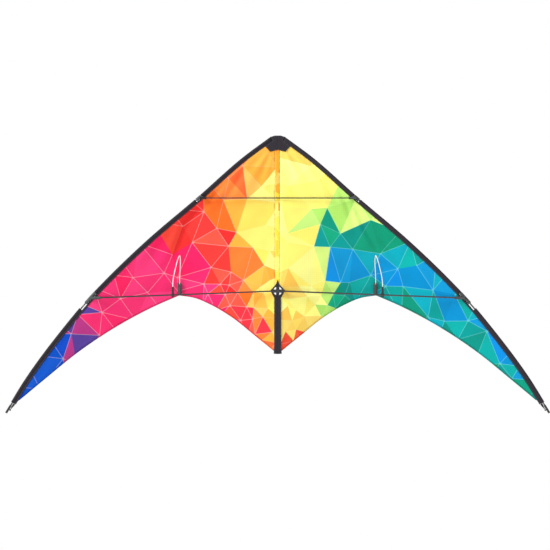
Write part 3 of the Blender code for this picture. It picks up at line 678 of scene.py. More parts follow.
def corner_data(mesh, name, kind, key, values):
    layer = mesh.attributes.new(name, kind, "CORNER")
    layer.data.foreach_set(key, np.ascontiguousarray(values, np.float32).ravel())


def paint_cloth(mesh, made, signed=False):
    """Writes each face's facet colour, line strength and corner distances onto a mesh in the frame's place."""
    flat = places_of(mesh)[:, [0, 2]]
    flat = flat if signed else np.abs(flat * (1, 0)) + flat * (0, 1)
    corner, total = np.empty(len(mesh.loops), int), np.empty(len(mesh.polygons), int)
    mesh.loops.foreach_get("vertex_index", corner)
    mesh.polygons.foreach_get("loop_total", total)
    middles = np.add.reduceat(flat[corner], np.concatenate([[0], np.cumsum(total)[:-1]])) / total[:, None]
    facet = np.repeat(facet_of(made, middles), total)
    away = heights_in(made, facet, flat[corner]) + np.where(made["shown"][facet], 0.0, 1.0)
    colour = np.concatenate([made["colours"][facet], np.ones((len(facet), 1))], 1)
    corner_data(mesh, "print", "FLOAT_COLOR", "color", colour)
    corner_data(mesh, "facet_sides", "FLOAT_VECTOR", "vector", away)
    corner_data(mesh, "line_strength", "FLOAT", "value", made["strength"][facet])


def pick(rng, shades, place):
    """For each place the shades of its band, one of them at random, a little lighter or darker."""
    bands = [np.array([shade(*c) for c in band]) for band in shades]
    chosen = np.array([bands[p][rng.integers(len(bands[p]))] for p in place])
    return np.clip(chosen * rng.uniform(0.93, 1.05, (len(place), 1)), 0, 1)


# %% [markdown]
# ### The two wings' colours
# The left wing warms from yellow at the centre through amber and red to pink, and ends in indigo at its tip. The
# right wing keeps its yellow further out, then turns to lime and dark green and on to blue. Each border between
# two colours is given by how far out it lies at a few heights.

# %% Colours of the wings
LEFT_SHADES = (((255, 234, 116), (255, 222, 96), (254, 238, 130), (255, 212, 92)),
               ((255, 182, 72), (254, 172, 62), (255, 192, 92), (253, 166, 58)),
               ((255, 124, 52), (253, 110, 36), (255, 134, 60), (252, 104, 50)),
               ((255, 72, 58), (252, 58, 54), (248, 48, 46), (255, 88, 70), (250, 52, 66)),
               ((255, 52, 118), (255, 42, 108), (255, 60, 126), (255, 34, 98), (255, 48, 116)),
               ((160, 62, 140), (120, 62, 150), (188, 56, 136), (92, 66, 158)),
               ((0, 84, 204), (16, 92, 212), (30, 70, 188), (10, 76, 200)))
LEFT_HEIGHTS = (-0.16, -0.10, -0.05, 0.015, 0.055, 0.11, 0.16, 0.215, 0.27, 0.31, 0.35, 0.39)
LEFT_BORDERS = ((0.000, 0.000, 0.022, 0.050, 0.012, 0.076, 0.085, 0.084, 0.076, 0.012, 0.000, 0.000),
                (0.008, 0.014, 0.050, 0.084, 0.022, 0.088, 0.112, 0.114, 0.112, 0.084, 0.052, 0.030),
                (0.020, 0.032, 0.076, 0.096, 0.114, 0.116, 0.124, 0.180, 0.200, 0.200, 0.200, 0.200),
                (0.075, 0.100, 0.140, 0.170, 0.208, 0.240, 0.330, 0.460, 0.500, 0.500, 0.500, 0.500),
                (0.505, 0.505, 0.505, 0.515, 0.525, 0.590, 0.600, 0.600, 0.600, 0.600, 0.600, 0.600),
                (0.585, 0.595, 0.605, 0.620, 0.640, 0.700, 0.700, 0.700, 0.700, 0.700, 0.700, 0.700))
RIGHT_SHADES = (((255, 249, 132), (255, 245, 118), (252, 249, 142), (255, 238, 110)),
                ((255, 214, 96), (255, 200, 84), (254, 222, 110)),
                ((255, 130, 44), (246, 80, 52), (255, 100, 60)),
                ((186, 236, 112), (174, 229, 104), (200, 242, 126), (214, 244, 128)),
                ((8, 152, 124), (16, 170, 128), (6, 146, 132), (10, 152, 116)),
                ((6, 172, 166), (4, 158, 152), (4, 150, 144), (6, 168, 186)),
                ((2, 144, 206), (10, 152, 212), (0, 140, 200), (6, 142, 222)))
RIGHT_HEIGHTS = (-0.06, 0.00, 0.03, 0.06, 0.085, 0.125, 0.165, 0.200, 0.225, 0.245, 0.262)
LIME_FROM = (0.125, 0.115, 0.112, 0.108, 0.092, 0.078, 0.072, 0.078, 0.085, 0.120, 0.200)
GREEN_FROM = (0.158, 0.142, 0.134, 0.138, 0.120, 0.106, 0.086, 0.100, 0.140, 0.400, 0.400)
TOP_LINE = ((0.10, 0.235), (0.125, 0.225), (0.15, 0.190), (0.22, 0.174), (0.26, 0.152), (0.30, 0.146), (0.34, 0.150))
# out along the wing: the blue band's middle and how far it reaches up and down
BLUE_BAND = ((0.14, 0.085, 0.026), (0.19, 0.075, 0.034), (0.22, 0.055, 0.030), (0.28, 0.040, 0.042),
             (0.40, 0.025, 0.044), (0.50, -0.055, 0.034), (0.60, -0.16, 0.026), (0.70, -0.28, 0.020))
LEFT_LINES, RIGHT_LINES = (0.10, 0.20, 0.40, 0.55, 0.62, 0.60, 0.60), (0.10, 0.12, 0.3, 0.15, 0.45, 0.62, 0.62)
SPREAD, RIGHT_SPREAD = 0.018, 0.010  # how far a facet may stray over a border


def left_print(rng, middles):
    """Each facet's band is the number of borders that lie further in than it does."""
    x, z = middles[:, 0], middles[:, 1]
    borders = np.array([np.interp(z, LEFT_HEIGHTS, b) for b in LEFT_BORDERS])
    place = (x + rng.uniform(-SPREAD, SPREAD, len(x)) > borders).sum(0)
    return pick(rng, LEFT_SHADES, place), np.array(LEFT_LINES)[place]


def right_print(rng, middles):
    """Yellow at first, amber and red at its ends, then lime, and green, teal and blue by the height."""
    x, z = middles[:, 0] + rng.uniform(-RIGHT_SPREAD, RIGHT_SPREAD, len(middles)), middles[:, 1]
    place = np.where((z > 0.335) & (x < 0.09), 1, 0)
    place = np.where((z < -0.06) | ((z < 0.05) & (z > -0.01) & (x < 0.05)), 1, place)
    place = np.where((z < -0.115) & (x < 0.07), 2, place)
    lime, green = np.interp(z, RIGHT_HEIGHTS, LIME_FROM), np.interp(z, RIGHT_HEIGHTS, GREEN_FROM)
    top_line, (out, *blue) = np.interp(x, *np.array(TOP_LINE).T), np.array(BLUE_BAND).T
    middle_line, reach = (np.interp(x, out, values) for values in blue)
    far, off_blue = (x > green) & (z < top_line), np.abs(z - middle_line) / reach
    place = np.where((x > lime) & (z < 0.255), 3, place)
    place = np.where(far, np.where((z > top_line - 0.022) | (off_blue > 2.3), 4, 5), place)
    place = np.where(far & (off_blue < 1.0) & (x > 0.140), 6, place)
    place = np.where(far & (z - bottom_at(middles[:, 0]) < 0.035) & (x > 0.30), 4 + (rng.random(len(x)) < 0.5), place)
    return pick(rng, RIGHT_SHADES, place), np.array(RIGHT_LINES)[place]


def wing_mosaic(seed, paint, drawn):
    """A coarse lattice over the whole wing, and a finer one low down beside the centre."""
    rng = np.random.default_rng(seed)
    coarse = lattice(rng, (-0.09, -0.42), (0.85, 0.52), 0.068, 0.30)
    fine = lattice(rng, (0.0, -0.20), (0.21, 0.03), 0.036, 0.28)
    crowded = (coarse[:, 0] > -0.02) & (coarse[:, 0] < 0.22) & (coarse[:, 1] > -0.22) & (coarse[:, 1] < 0.045)
    return mosaic(rng, np.concatenate([coarse[~crowded], fine]), paint, drawn)


MOSAICS = {"left": wing_mosaic(11, left_print, 0.85), "right": wing_mosaic(24, right_print, 0.85)}
print({side: len(m["facets"]) for side, m in MOSAICS.items()}, "facets")

# %% [markdown]
# ### The cloth of a wing
# The cloth is cut to its outline, crossed by the mosaic's sides and filled with small triangles. It is drawn back
# by the stand-off, and it is never quite smooth: soft folds run down and outwards from the leading edge where the
# upper fitting pulls, and short pleats fan out from the nose. A sheet held tight all round needs no cloth
# simulation, so the folds are worked out as waves that fade towards the seams.

# %% Cloth from an outline
def cut_cloth(outline, holds, spacing, sides=None, seed=1):
    """Triangles that fill a closed outline. sides are straight lines that the triangles must follow, holds says
    which middles lie on the cloth, and small triangles come from a lattice of loose points between."""
    rng = np.random.default_rng(seed)
    outline = np.asarray(outline, float)
    points, edges = [outline], [np.stack([np.arange(len(outline)), (np.arange(len(outline)) + 1) % len(outline)], 1)]
    count, fixed = len(outline), [outline]
    for a, b in (sides if sides is not None else ()):
        steps = max(int(np.ceil(np.linalg.norm(b - a) / spacing)), 1)
        run = a + (b - a) * np.linspace(0, 1, steps + 1)[:, None]
        points.append(run)
        edges.append(np.stack([np.arange(steps), np.arange(steps) + 1], 1) + count)
        count += steps + 1
        fixed.append(run)
    fixed = np.concatenate(fixed)
    loose = lattice(rng, outline.min(0), outline.max(0), spacing, 0.12)
    loose = loose[holds(loose)]
    gap = np.concatenate([np.sqrt(((part[:, None] - fixed[None]) ** 2).sum(-1)).min(1)
                          for part in np.array_split(loose, max(len(loose) // 400, 1))])
    points.append(loose[gap > spacing * 0.55])
    flat, faces = triangles_of(np.concatenate(points), np.concatenate(edges).tolist(), 1e-6)
    area = doubled_area(flat, faces)
    keep = holds(flat[faces].mean(1)) & (np.abs(area) > 1e-10)
    faces = np.where(area[:, None] > 0, faces, faces[:, ::-1])[keep]
    used, faces = np.unique(faces, return_inverse=True)
    return flat[used], faces.reshape(-1, 3)


def cloth_mesh(name, places, faces, flat, side=1):
    """A mesh of triangles in space, whose UV map is the flat cloth in metres."""
    mesh = bpy.data.meshes.new(name)
    faces = faces if side > 0 else faces[:, ::-1]
    mesh.from_pydata(mirrored(places, side).tolist(), [], faces.tolist())
    mesh.uv_layers.new(name="cloth").data.foreach_set("uv", flat[faces.ravel()].astype(np.float32).ravel())
    return mesh


def flat_area(flat, faces):
    return float(np.abs(doubled_area(flat, faces)).sum() / 2)


def thicken(obj, thickness, offset=0.0):
    """Gives a sheet its thickness on both sides, as the last step of its making."""
    solid = obj.modifiers.new("thickness", "SOLIDIFY")
    solid.thickness, solid.offset = thickness, offset
    return obj


SAIL_CLOTH = 0.0003
UNDER_SLEEVE = 0.0012  # how far the cloth goes in between the sleeve's two edges
INSIDE_HEM = 0.0008
SAIL_END_X = 0.6940


def on_sail(p):
    """Which places lie on the cloth: inside its four edges and outside the round hole."""
    x, z = p[:, 0], p[:, 1]
    return ((x > SEAM_X) & (x < SAIL_END_X) & (z < top_at(x) + UNDER_SLEEVE * 1.3) & (z > bottom_at(x) + INSIDE_HEM)
            & (np.hypot(x, z) > HOLE_RADIUS))


def sail_outline():
    """The sail's edge: out along the sleeve, back along the trailing edge, and up the seam round the hole."""
    x = SEAM_X + (SAIL_END_X - SEAM_X) * np.linspace(0, 1, 150) ** 1.05
    upper = np.stack([x, top_at(x) + UNDER_SLEEVE * 1.3], 1)
    lower = np.stack([x, bottom_at(x) + INSIDE_HEM], 1)[::-1]
    turn = np.arccos(SEAM_X / HOLE_RADIUS)
    hole = HOLE_RADIUS * np.stack([np.cos(np.linspace(-turn, turn, 14)), np.sin(np.linspace(-turn, turn, 14))], 1)
    up = [np.stack([np.full(30, SEAM_X), np.linspace(bottom_at(SEAM_X) + 0.006, -HOLE_RADIUS * 1.1, 30)], 1), hole,
          np.stack([np.full(60, SEAM_X), np.linspace(HOLE_RADIUS * 1.1, top_at(SEAM_X) - 0.004, 60)], 1)]
    return np.concatenate([upper, lower, *up])


# each fold's start (x, z), length, width and height
FOLDS = ((0.150, 0.290, 0.20, 0.0085, 0.0060), (0.185, 0.262, 0.27, 0.0080, 0.0068),
         (0.216, 0.236, 0.25, 0.0100, 0.0062), (0.262, 0.196, 0.19, 0.0110, 0.0050),
         (0.305, 0.158, 0.15, 0.0120, 0.0042), (0.095, 0.330, 0.17, 0.0085, 0.0045),
         (0.390, 0.082, 0.11, 0.0120, 0.0036), (0.545, -0.080, 0.12, 0.0110, 0.0032),
         (0.605, -0.165, 0.10, 0.0100, 0.0028))
FOLD_WAY, NOSE_Z, PLEAT_HEIGHT = np.array([0.50, -0.866]), 0.41, 0.0018


def folds(x, z, side):
    """Soft folds: each starts at a place near the leading edge and runs down and outwards, as a rounded ridge
    that is narrow at first, widens and fades. Pleats fan from the nose, and all fade at the seams."""
    total = np.zeros_like(x)
    for k, (fx, fz, reach, width, high) in enumerate(FOLDS):
        way = FOLD_WAY + np.array([0.05, 0.0]) * (k % 3 - 1) * side
        way = way / np.linalg.norm(way)
        run = (x - fx) * way[0] + (z - fz) * way[1]
        off = (x - fx) * way[1] - (z - fz) * way[0] + 0.006 * np.sin(run * 22 + k + side)
        spread = width * (0.7 + 1.1 * np.clip(run / reach, 0, 1))
        fade = soft_step(run, -0.03, 0.03) * (1 - soft_step(run, 0.35 * reach, reach))
        total += high * fade * np.exp(-(off / spread) ** 2)
    from_nose, turn = np.hypot(x, z - NOSE_Z), np.arctan2(x, NOSE_Z - z)
    pleats = soft_step(from_nose, 0.03, 0.07) * (1 - soft_step(from_nose, 0.09, 0.19))
    total += PLEAT_HEIGHT * np.sin(turn * 21 + side) * pleats
    total += 0.0005 * np.sin(x * 83 + z * 61 + side) + 0.0004 * np.sin(x * 47 - z * 97)
    near = np.minimum(np.minimum(x - SEAM_X, top_at(x) - z), z - bottom_at(x))
    return total * soft_step(near, 0.0, 0.022)


def make_sail(word, side):
    """The flat cloth, set back by the billow and the folds and cut along the facet sides that reach it."""
    facets = MOSAICS[word]
    lines = facets["corners"][facets["edges"]]
    far = ((lines.max(1)[:, 0] < 0.0) | (lines.min(1)[:, 0] > 0.72) | (lines.max(1)[:, 1] < -0.32)
           | (lines.min(1)[:, 1] > 0.42) | (lines.min(1)[:, 1] > top_at(lines.min(1)[:, 0]) + 0.02))
    flat, faces = cut_cloth(sail_outline(), on_sail, 0.0055, lines[~far], seed=3)
    x, z = flat[:, 0], flat[:, 1]
    y = SAIL_Y + billow(x, z) + folds(x, z, side)
    mesh = cloth_mesh(word + "_printed_sail", np.stack([x, y, z], 1), faces, flat, side)
    paint_cloth(mesh, facets)
    obj = finish_mesh(mesh, PRINT[word], word + "_wing",
                      [word + "_sail"], angle=80)
    return thicken(obj, SAIL_CLOTH), flat_area(flat, faces)


SAILS = {word: make_sail(word, side) for word, side in SIDES}
for word, (sail, area) in SAILS.items():
    print(sail.name, len(sail.data.polygons), "faces", round(area, 4), "m2")

# %% [markdown]
# ### The hem
# Along the trailing edge the cloth is turned over and sewn, so the edge is doubled. The hem is a narrow strip
# folded round the sail's lower edge, a grid of points with the fold's section at every place along the edge.

# %% Hems
HEM_STATIONS, HEM_END_X, HEM_HALF = 190, 0.6880, 0.00042
HEM_DARK_LEVEL = 0.28  # the print scaled by this is the dark end of the hem's mix, which the painted fold shadow goes most of the way to
HEM_FOLD_AT, HEM_DARKENING = 0.0051, (0.85, 0.2975)  # the fold's place; how far towards the dark end the painted shadow along the fold goes, and how far the rest of the hem goes


def make_hem(word, side):
    """The fold's section is a flat U: down the front, round the edge and up the back."""
    x = np.linspace(SEAM_X + 0.0006, HEM_END_X, HEM_STATIONS)
    edge = np.stack([x, bottom_at(x)], 1)
    front = np.linspace(HEM_WIDTH, 0.0006, 4)
    bend = np.radians(np.linspace(0, 180, 5))
    up = np.concatenate([front, 0.0004 - 0.0004 * np.sin(bend), front[::-1]])
    out = HEM_HALF * np.concatenate([np.full(4, -1.0), -np.cos(bend), np.full(4, 1.0)])
    room = np.clip((top_at(x) - bottom_at(x)) / 0.012, 0.35, 1.0)
    z = edge[:, 1:] + up[None] * room[:, None]
    y = SAIL_Y + billow(x[:, None] + 0 * z, z) + out[None]
    grid = np.stack([x[:, None] + 0 * z, y, z], -1)
    across = np.concatenate([[0.0], np.cumsum(np.hypot(np.diff(up), np.diff(out)))])
    mesh = grid_mesh(word + "_hem", mirrored(grid, side), lengths(edge), across, flip=side < 0)
    paint_cloth(mesh, MOSAICS[word])
    return thicken(finish_mesh(mesh, HEM_CLOTH, word + "_wing",
                               [word + "_trailing_edge_hem"], angle=60), 0.0002)


def hem_cloth():
    """The turned edge: the print again, a little darker, with one row of stitches and a painted shadow along the fold.
    """
    material, tree = finish("hem", 0.6, Specular_IOR_Level=0.1)
    colour, place = attribute(tree, "print"), cloth_place(tree)
    u, v, _ = split(place)
    # painted shadow: a dark line along the hem's fold, over a hem that is darkened a little all over
    fold_shadow = ramp(size_of(minus(v, HEM_FOLD_AT)), 0.0008, 0.0022, *HEM_DARKENING)
    sewn = use(STITCHES, Along=u, Across=minus(v, 0.0012), Length=0.0032)[0]
    threads = use(WEAVE, Vector=place, Pitch=THREAD_PITCH)[0]
    print_with_fold_shadow = mix(fold_shadow, colour, scaled(colour, HEM_DARK_LEVEL))
    return dress(material, mix(times(sewn, 0.5), print_with_fold_shadow, shade(40, 36, 44)),
                 ramp(use(HANDLED, Vector=place, Size=0.04)[0], 0.0, 1.0, 0.5, 0.72),
                 plus(times(threads, 0.4), sewn), 0.0002)


HEM_CLOTH = hem_cloth()
HEMS = {word: make_hem(word, side) for word, side in SIDES}
print([len(h.data.polygons) for h in HEMS.values()], "faces in the hems")

# %% [markdown]
# ## The leading-edge sleeves
# Each sleeve is one strip of stiff woven tape folded round the rod and sewn to the sail, with two cut-outs where
# the fittings grip the bare rod. The folded section is carried along the leading edge, and the faces in the
# cut-outs are left out. That leaves a clean square opening, which a Boolean cut through thin cloth would not.

# %% Sleeves
SLEEVE_TAPE_THICKNESS, SLEEVE_EDGE = 0.0004, 0.00062
CUT_DEPTH = 0.0048  # how far in from the rod a cut-out goes
CUTS = ((UPPER_FITTING_AT - share_of(0.0092), UPPER_FITTING_AT + share_of(0.0105)),
        (LOWER_FITTING_AT - share_of(0.0192), LOWER_FITTING_AT + share_of(0.0390)))
SLEEVE_FROM = share_of(0.0004)


def sleeve_profile(width):
    """The folded tape's section as (inward, y): from the front edge over the outer fold to the back edge. It is
    round where it holds the rod, and narrows smoothly to the two flat edges that the sail lies between."""
    inner = width - SLEEVE_RADIUS
    flat = np.array([1.0, (CUT_DEPTH + inner) / (2 * inner), CUT_DEPTH / inner, 0.38, 0.28, 0.18, 0.09, 0.0]) * inner
    nose = SLEEVE_RADIUS - 0.0003
    half = SLEEVE_EDGE + (nose - SLEEVE_EDGE) * (1 - soft_step(flat, 0.0002, 0.0060))
    turn = np.radians(np.linspace(90, 270, 15))[1:-1]
    inward = np.concatenate([flat, nose * np.cos(turn), flat[::-1]])
    y = np.concatenate([-half, -nose * np.sin(turn), half[::-1]])
    return np.stack([inward, y], 1)


def make_sleeve(word, side):
    """The folded section at every place along the leading edge, with two slight ripples, less its cut-outs."""
    shares = np.unique(np.concatenate([np.linspace(SLEEVE_FROM, SLEEVE_END_AT, 150), np.ravel(CUTS)]))
    sections = np.array([sleeve_profile(sleeve_width(s)) for s in shares])
    ripple = 0.00022 * np.sin(shares * 260 + side) + 0.00015 * np.sin(shares * 610)
    sections[..., 1] *= 1 + (ripple / SLEEVE_RADIUS)[:, None] * (np.abs(sections[..., 1]) > 0.001)
    grid = along_edge(shares[:, None], sections[..., 0], sections[..., 1])[0]
    columns = sections.shape[1]
    middle_share, middle_in = (shares[1:] + shares[:-1]) / 2, (sections[:-1, 1:, 0] + sections[:-1, :-1, 0]) / 2
    cut = np.zeros((len(shares) - 1, columns - 1), bool)
    for low, high in CUTS:
        cut |= ((middle_share > low) & (middle_share < high))[:, None] & (middle_in < CUT_DEPTH)
    across = lengths(sections[len(sections) // 2])
    mesh = grid_mesh(word + "_sleeve", mirrored(grid, side), shares * EDGE_LENGTH, across, keep=~cut, flip=side < 0)
    obj = finish_mesh(mesh, SLEEVE_TAPE, word + "_wing",
                      [word + "_leading_edge_sleeve"], angle=70)
    return thicken(obj, SLEEVE_TAPE_THICKNESS), float(across[-1])


SLEEVES = {word: make_sleeve(word, side) for word, side in SIDES}
print("sleeve tape", round(SLEEVES["right"][1] * 1000, 1), "mm wide when it lies flat")

# %% [markdown]
# ## The rods
# Every rod is solid and round: drawn carbon in the edges, the spine and the spreaders, and white glass fibre in
# the stand-offs. A CAD tube with few sides shows its corners from close by, so each is made again with 24 sides
# along the same line, with a small rounding at its ends.

# %% Rods
LOWER_SPREADER_Y, UPPER_SPREADER_Y, SPINE_Y = -0.0080, -0.0065, 0.0034  # from the plane of the leading edges
SPINE_Z, UPPER_ROD_GAP = (-0.1615, 0.4085), 0.0040
LOWER_END, UPPER_END = (along_edge(share)[0][0] for share in (LOWER_FITTING_AT, UPPER_FITTING_AT))
SPREADER_REACH = np.linalg.norm(LOWER_END * (1, 0, 1))
SPREADER_WAY, SPREADER_AXIS = LOWER_END * (1, 0, 1) / SPREADER_REACH, np.array([0.0, SAIL_Y + LOWER_SPREADER_Y, 0.0])


def make_rod(name, path, body, node, radius=ROD, material=CARBON, slot="carbon_rod", **shape):
    return finish_mesh(rod_mesh(name, path, radius, **shape), material, body, [node])


rods = [make_rod("spine", [(0.0, SAIL_Y + SPINE_Y, z) for z in np.linspace(*SPINE_Z, 12)], "spine", "spine_rod")]
for word, side in SIDES:
    for part, low, high, count in (("upper", 0.0, ROD_JOINT_AT - share_of(0.0003), 60),
                                   ("lower", ROD_JOINT_AT, 1.0 - share_of(0.0125), 46)):
        line = along_edge(np.linspace(low, high, count))[0]
        rods.append(make_rod(f"{word}_{part}_leading_edge", mirrored(line, side), word + "_wing",
                             f"{word}_{part}_edge_rod"))
    line = SPREADER_AXIS + SPREADER_WAY * np.linspace(0.0064, SPREADER_REACH - 0.0062, 24)[:, None]
    rods.append(make_rod(word + "_lower_cross_rod", mirrored(line, side), word + "_wing", word + "_lower_spreader"))
reach = UPPER_END[0] - UPPER_ROD_GAP
line = [(x, SAIL_Y + UPPER_SPREADER_Y, UPPER_END[2]) for x in np.linspace(-reach, reach, 20)]
rods.append(make_rod("upper_cross_rod_visual", line, "upper_cross_rod", "upper_spreader", THIN_ROD))
print(len(rods), "carbon rods")

# %% [markdown]
# ## The stand-offs
# A stand-off is a thin white glass rod bent into a hairpin. It springs from a socket on the lower spreader, arches
# over and presses the trailing edge back through a rubber connector, which is what gives the sail its billow.

# %% Stand-off bows
STANDOFF_X, CLIP_X, CLIP_RADIUS, CLIP_HEIGHTS = 0.2790, 0.2630, 0.0050, (-0.0110, 0.0200)
BOW_APEX = np.array([0.2615, 0.0095, 0.0945])


def bow_stations():
    """Points of the bow: up from its socket, over the top, and down into the connector at the trailing edge,
    which leans back along the sail."""
    z = np.array(CLIP_HEIGHTS)
    low, clip = np.stack([np.full(2, CLIP_X), billow(np.full(2, CLIP_X), z) - CLIP_RADIUS - 0.0013, z], 1)
    lean = (clip - low) / np.linalg.norm(clip - low)
    rise = SPREADER_WAY[2] / SPREADER_WAY[0] * STANDOFF_X
    foot = np.array([STANDOFF_X, LOWER_SPREADER_Y + 0.0006, rise + 0.0050])
    return np.array([foot, foot + (0, 0.0003, 0.0120), foot + (0, 0.0006, 0.0240),
                     (STANDOFF_X - 0.0076, LOWER_SPREADER_Y + 0.0080, 0.0640),
                     BOW_APEX + (0.0030, -0.0060, -0.0060), BOW_APEX, BOW_APEX + (-0.0010, 0.0060, -0.0070),
                     clip + lean * 0.0300 + (-0.0012, -0.0005, 0), clip + lean * 0.0060, clip - lean * 0.0060])


line = smooth_path(bow_stations(), 90) + (0, SAIL_Y, 0)
for word, side in SIDES:
    make_rod(word + "_bow", mirrored(line, side), word + "_standoff", word + "_standoff_bow", BOW_ROD, GLASS,
             "white_rod", sides=16, rounding=0.0002)
print("each bow is", round(float(lengths(line)[-1]), 3), "m of rod")

# %% [markdown]
# ## Rubber and moulded fittings
# The fittings are small and have soft, rounded edges, because rubber and plastic come out of a mould. The CAD's
# fittings have the right shape but hard edges. A copy of each is welded, rebuilt as an even skin of small squares
# and smoothed a little, which rounds every edge at once. Mould ribs are then pressed in where the real ones have
# them: a rib is a shallow wave of the skin along the fitting's own line.

# %% Soft-edged copies
SWELL = 0.0004  # how much fatter the rubber is where it grips a leading edge


def off_line(co, point, way):
    """How far along a line each place is, how far off it, and the direction away from it."""
    run = (co - point) @ way
    radial = co - point - run[:, None] * way
    away = np.linalg.norm(radial, axis=1)
    return run, away, radial / np.maximum(away, 1e-6)[:, None]


def soft_copy(name, node, voxel, passes, ribs=(), grip=None):
    """A copy of a CAD node with rounded edges. Each rib is (a point, a direction, how many, their spacing, their
    depth, how far from the point's line the skin may be): the skin goes in where the wave along it is low. The
    outer skin round grip, a point and a direction, swells a little."""
    helper = bpy.data.objects.new(name, outward(frame["nodes"][node].data.copy(), 2e-6))
    scene.collection.objects.link(helper)
    even, soft = helper.modifiers.new("even", "REMESH"), helper.modifiers.new("soft", "SMOOTH")
    even.mode, even.voxel_size, even.adaptivity = "VOXEL", voxel, 0.0
    soft.factor, soft.iterations = 0.5, passes
    made = bpy.data.meshes.new_from_object(helper.evaluated_get(bpy.context.evaluated_depsgraph_get()))
    bpy.data.objects.remove(helper)
    made.name = name
    co = places_of(made)
    if grip:
        _, away, out = off_line(co, *grip)
        co = co + out * (SWELL * soft_step(away, 0.0028, 0.0036) * (1 - soft_step(away, 0.0044, 0.0056)))[:, None]
    for point, way, count, spacing, deep, reach in ribs:
        run, away, out = off_line(co, point, way)
        inside = (run > -0.5 * spacing) & (run < (count - 0.5) * spacing) & (away < reach) & (away > reach * 0.45)
        groove = (0.5 + 0.5 * np.cos(run / spacing * 2 * np.pi)) ** 3
        co = co - out * (deep * groove * inside)[:, None]
    made.vertices.foreach_set("co", co.astype(np.float32).ravel())
    made.update()
    return made


def soft_fitting(name, node, body, material, voxel=0.0003, passes=3, **detail):
    return finish_mesh(soft_copy(name, node, voxel, passes, **detail), material, body, [node], angle=180)


def rubber_grip(word, side, part, body, share, point, way, *rib):
    """A connector on the leading edge, ribbed along its arm and a little fatter round the rod."""
    grip = tuple(mirrored(v[0], side) for v in along_edge(share))
    soft_fitting(f"{word}_{part}_connector", f"{word}_{part}_fitting", body, RUBBER, 0.00045, 4,
                 ribs=((mirrored(point, side), mirrored(way, side), *rib),), grip=grip)


for word, side in SIDES:
    wing = word + "_wing"
    rubber_grip(word, side, "lower", wing, LOWER_FITTING_AT,
                SPREADER_AXIS + SPREADER_WAY * (SPREADER_REACH - 0.0270), SPREADER_WAY, 4, 0.0026, 0.0005, 0.0050)
    rubber_grip(word, side, "upper", "upper_cross_rod" if side > 0 else wing, UPPER_FITTING_AT,
                (UPPER_END[0] - 0.0190, SAIL_Y + UPPER_SPREADER_Y, UPPER_END[2]), (1, 0, 0), 3, 0.0024, 0.0004, 0.0044)
    soft_fitting(word + "_edge_connector", word + "_trailing_edge_clip", wing, RUBBER, 0.0004)
    soft_fitting(word + "_rod_socket", word + "_standoff_socket", word + "_standoff", PLASTIC)
    soft_fitting(word + "_nock", word + "_tip_nock", wing, PLASTIC)
    ferrule = frame["nodes"][word + "_ferrule"].data
    ferrule.materials.clear()
    ferrule.materials.append(BRASS)
soft_fitting("cross", "centre_tee", "spine", PLASTIC, 0.0004)
soft_fitting("spine_cap", "spine_end_cap", "spine", PLASTIC)

# %% [markdown]
# ## The centre
# A narrow band of printed cloth covers the seam between the wings, and a round tunnel sewn behind it holds the
# spine. The band stays with the spine when the wings fold, and its own small mosaic carries the print across.

# %% Centre band and spine tunnel
BAND_HALF, TUNNEL_HALF, TUNNEL_RADIUS = 0.0060, 0.0056, 0.0034
BANDS = (("upper", 0.0160, 0.4050), ("lower", -0.1480, -0.0160))
BAND_SHADES = (((255, 226, 84), (255, 240, 120), (252, 216, 60)), ((255, 180, 60), (255, 164, 44), (250, 196, 90)),
               ((252, 132, 40), (244, 116, 36), (255, 148, 56)))
BAND_HEIGHTS, BAND_PLACES = (-0.16, -0.02, 0.04, 0.12, 0.25, 0.32, 0.41), (1.0, 0.4, 0.0, 0.0, 0.2, 1.2, 1.8)


def band_print(rng, middles):
    wanted = np.interp(middles[:, 1], BAND_HEIGHTS, BAND_PLACES) + rng.uniform(-0.4, 0.4, len(middles))
    place = np.clip(np.round(wanted), 0, 2).astype(int)
    return pick(rng, BAND_SHADES, place), np.full(len(middles), 0.25)


def band_mosaic():
    """Three uneven rails of points, joined into long thin facets."""
    rng = np.random.default_rng(5)
    z = np.arange(-0.24, 0.48, 0.055)
    rail = [np.stack([np.full(len(z), x), z + rng.uniform(-0.018, 0.018, len(z))], 1) for x in (-0.02, 0.0015, 0.02)]
    return mosaic(rng, np.concatenate(rail), band_print, 0.5)


BAND_MOSAIC = band_mosaic()


def make_band(part, low, high):
    """The flat band in front: a rectangle cut by its mosaic and crowned a fifth of a millimetre."""
    outline = np.concatenate([np.stack([np.linspace(-BAND_HALF, BAND_HALF, 7), np.full(7, low)], 1),
                              np.stack([np.full(90, BAND_HALF), np.linspace(low, high, 92)[1:-1]], 1),
                              np.stack([np.linspace(BAND_HALF, -BAND_HALF, 7), np.full(7, high)], 1),
                              np.stack([np.full(90, -BAND_HALF), np.linspace(high, low, 92)[1:-1]], 1)])
    lines = BAND_MOSAIC["corners"][BAND_MOSAIC["edges"]]
    near = (lines[..., 1].max(1) > low) & (lines[..., 1].min(1) < high)
    holds = lambda p: (np.abs(p[:, 0]) < BAND_HALF) & (p[:, 1] > low) & (p[:, 1] < high)
    flat, faces = cut_cloth(outline, holds, 0.0032, lines[near], seed=8)
    crown = 0.0002 * (1 - (flat[:, 0] / BAND_HALF) ** 2)
    pucker = 0.00008 * np.sin(flat[:, 1] * 700) * (flat[:, 0] / BAND_HALF) ** 2
    places = np.stack([flat[:, 0], SAIL_Y - 0.0002 - crown + pucker, flat[:, 1]], 1)
    mesh = cloth_mesh(part + "_centre_band", places, faces, flat)
    paint_cloth(mesh, BAND_MOSAIC, signed=True)
    obj = finish_mesh(mesh, PRINT["centre"], "spine",
                      ["spine_sleeve_" + part], angle=80)
    return thicken(obj, 0.0003)


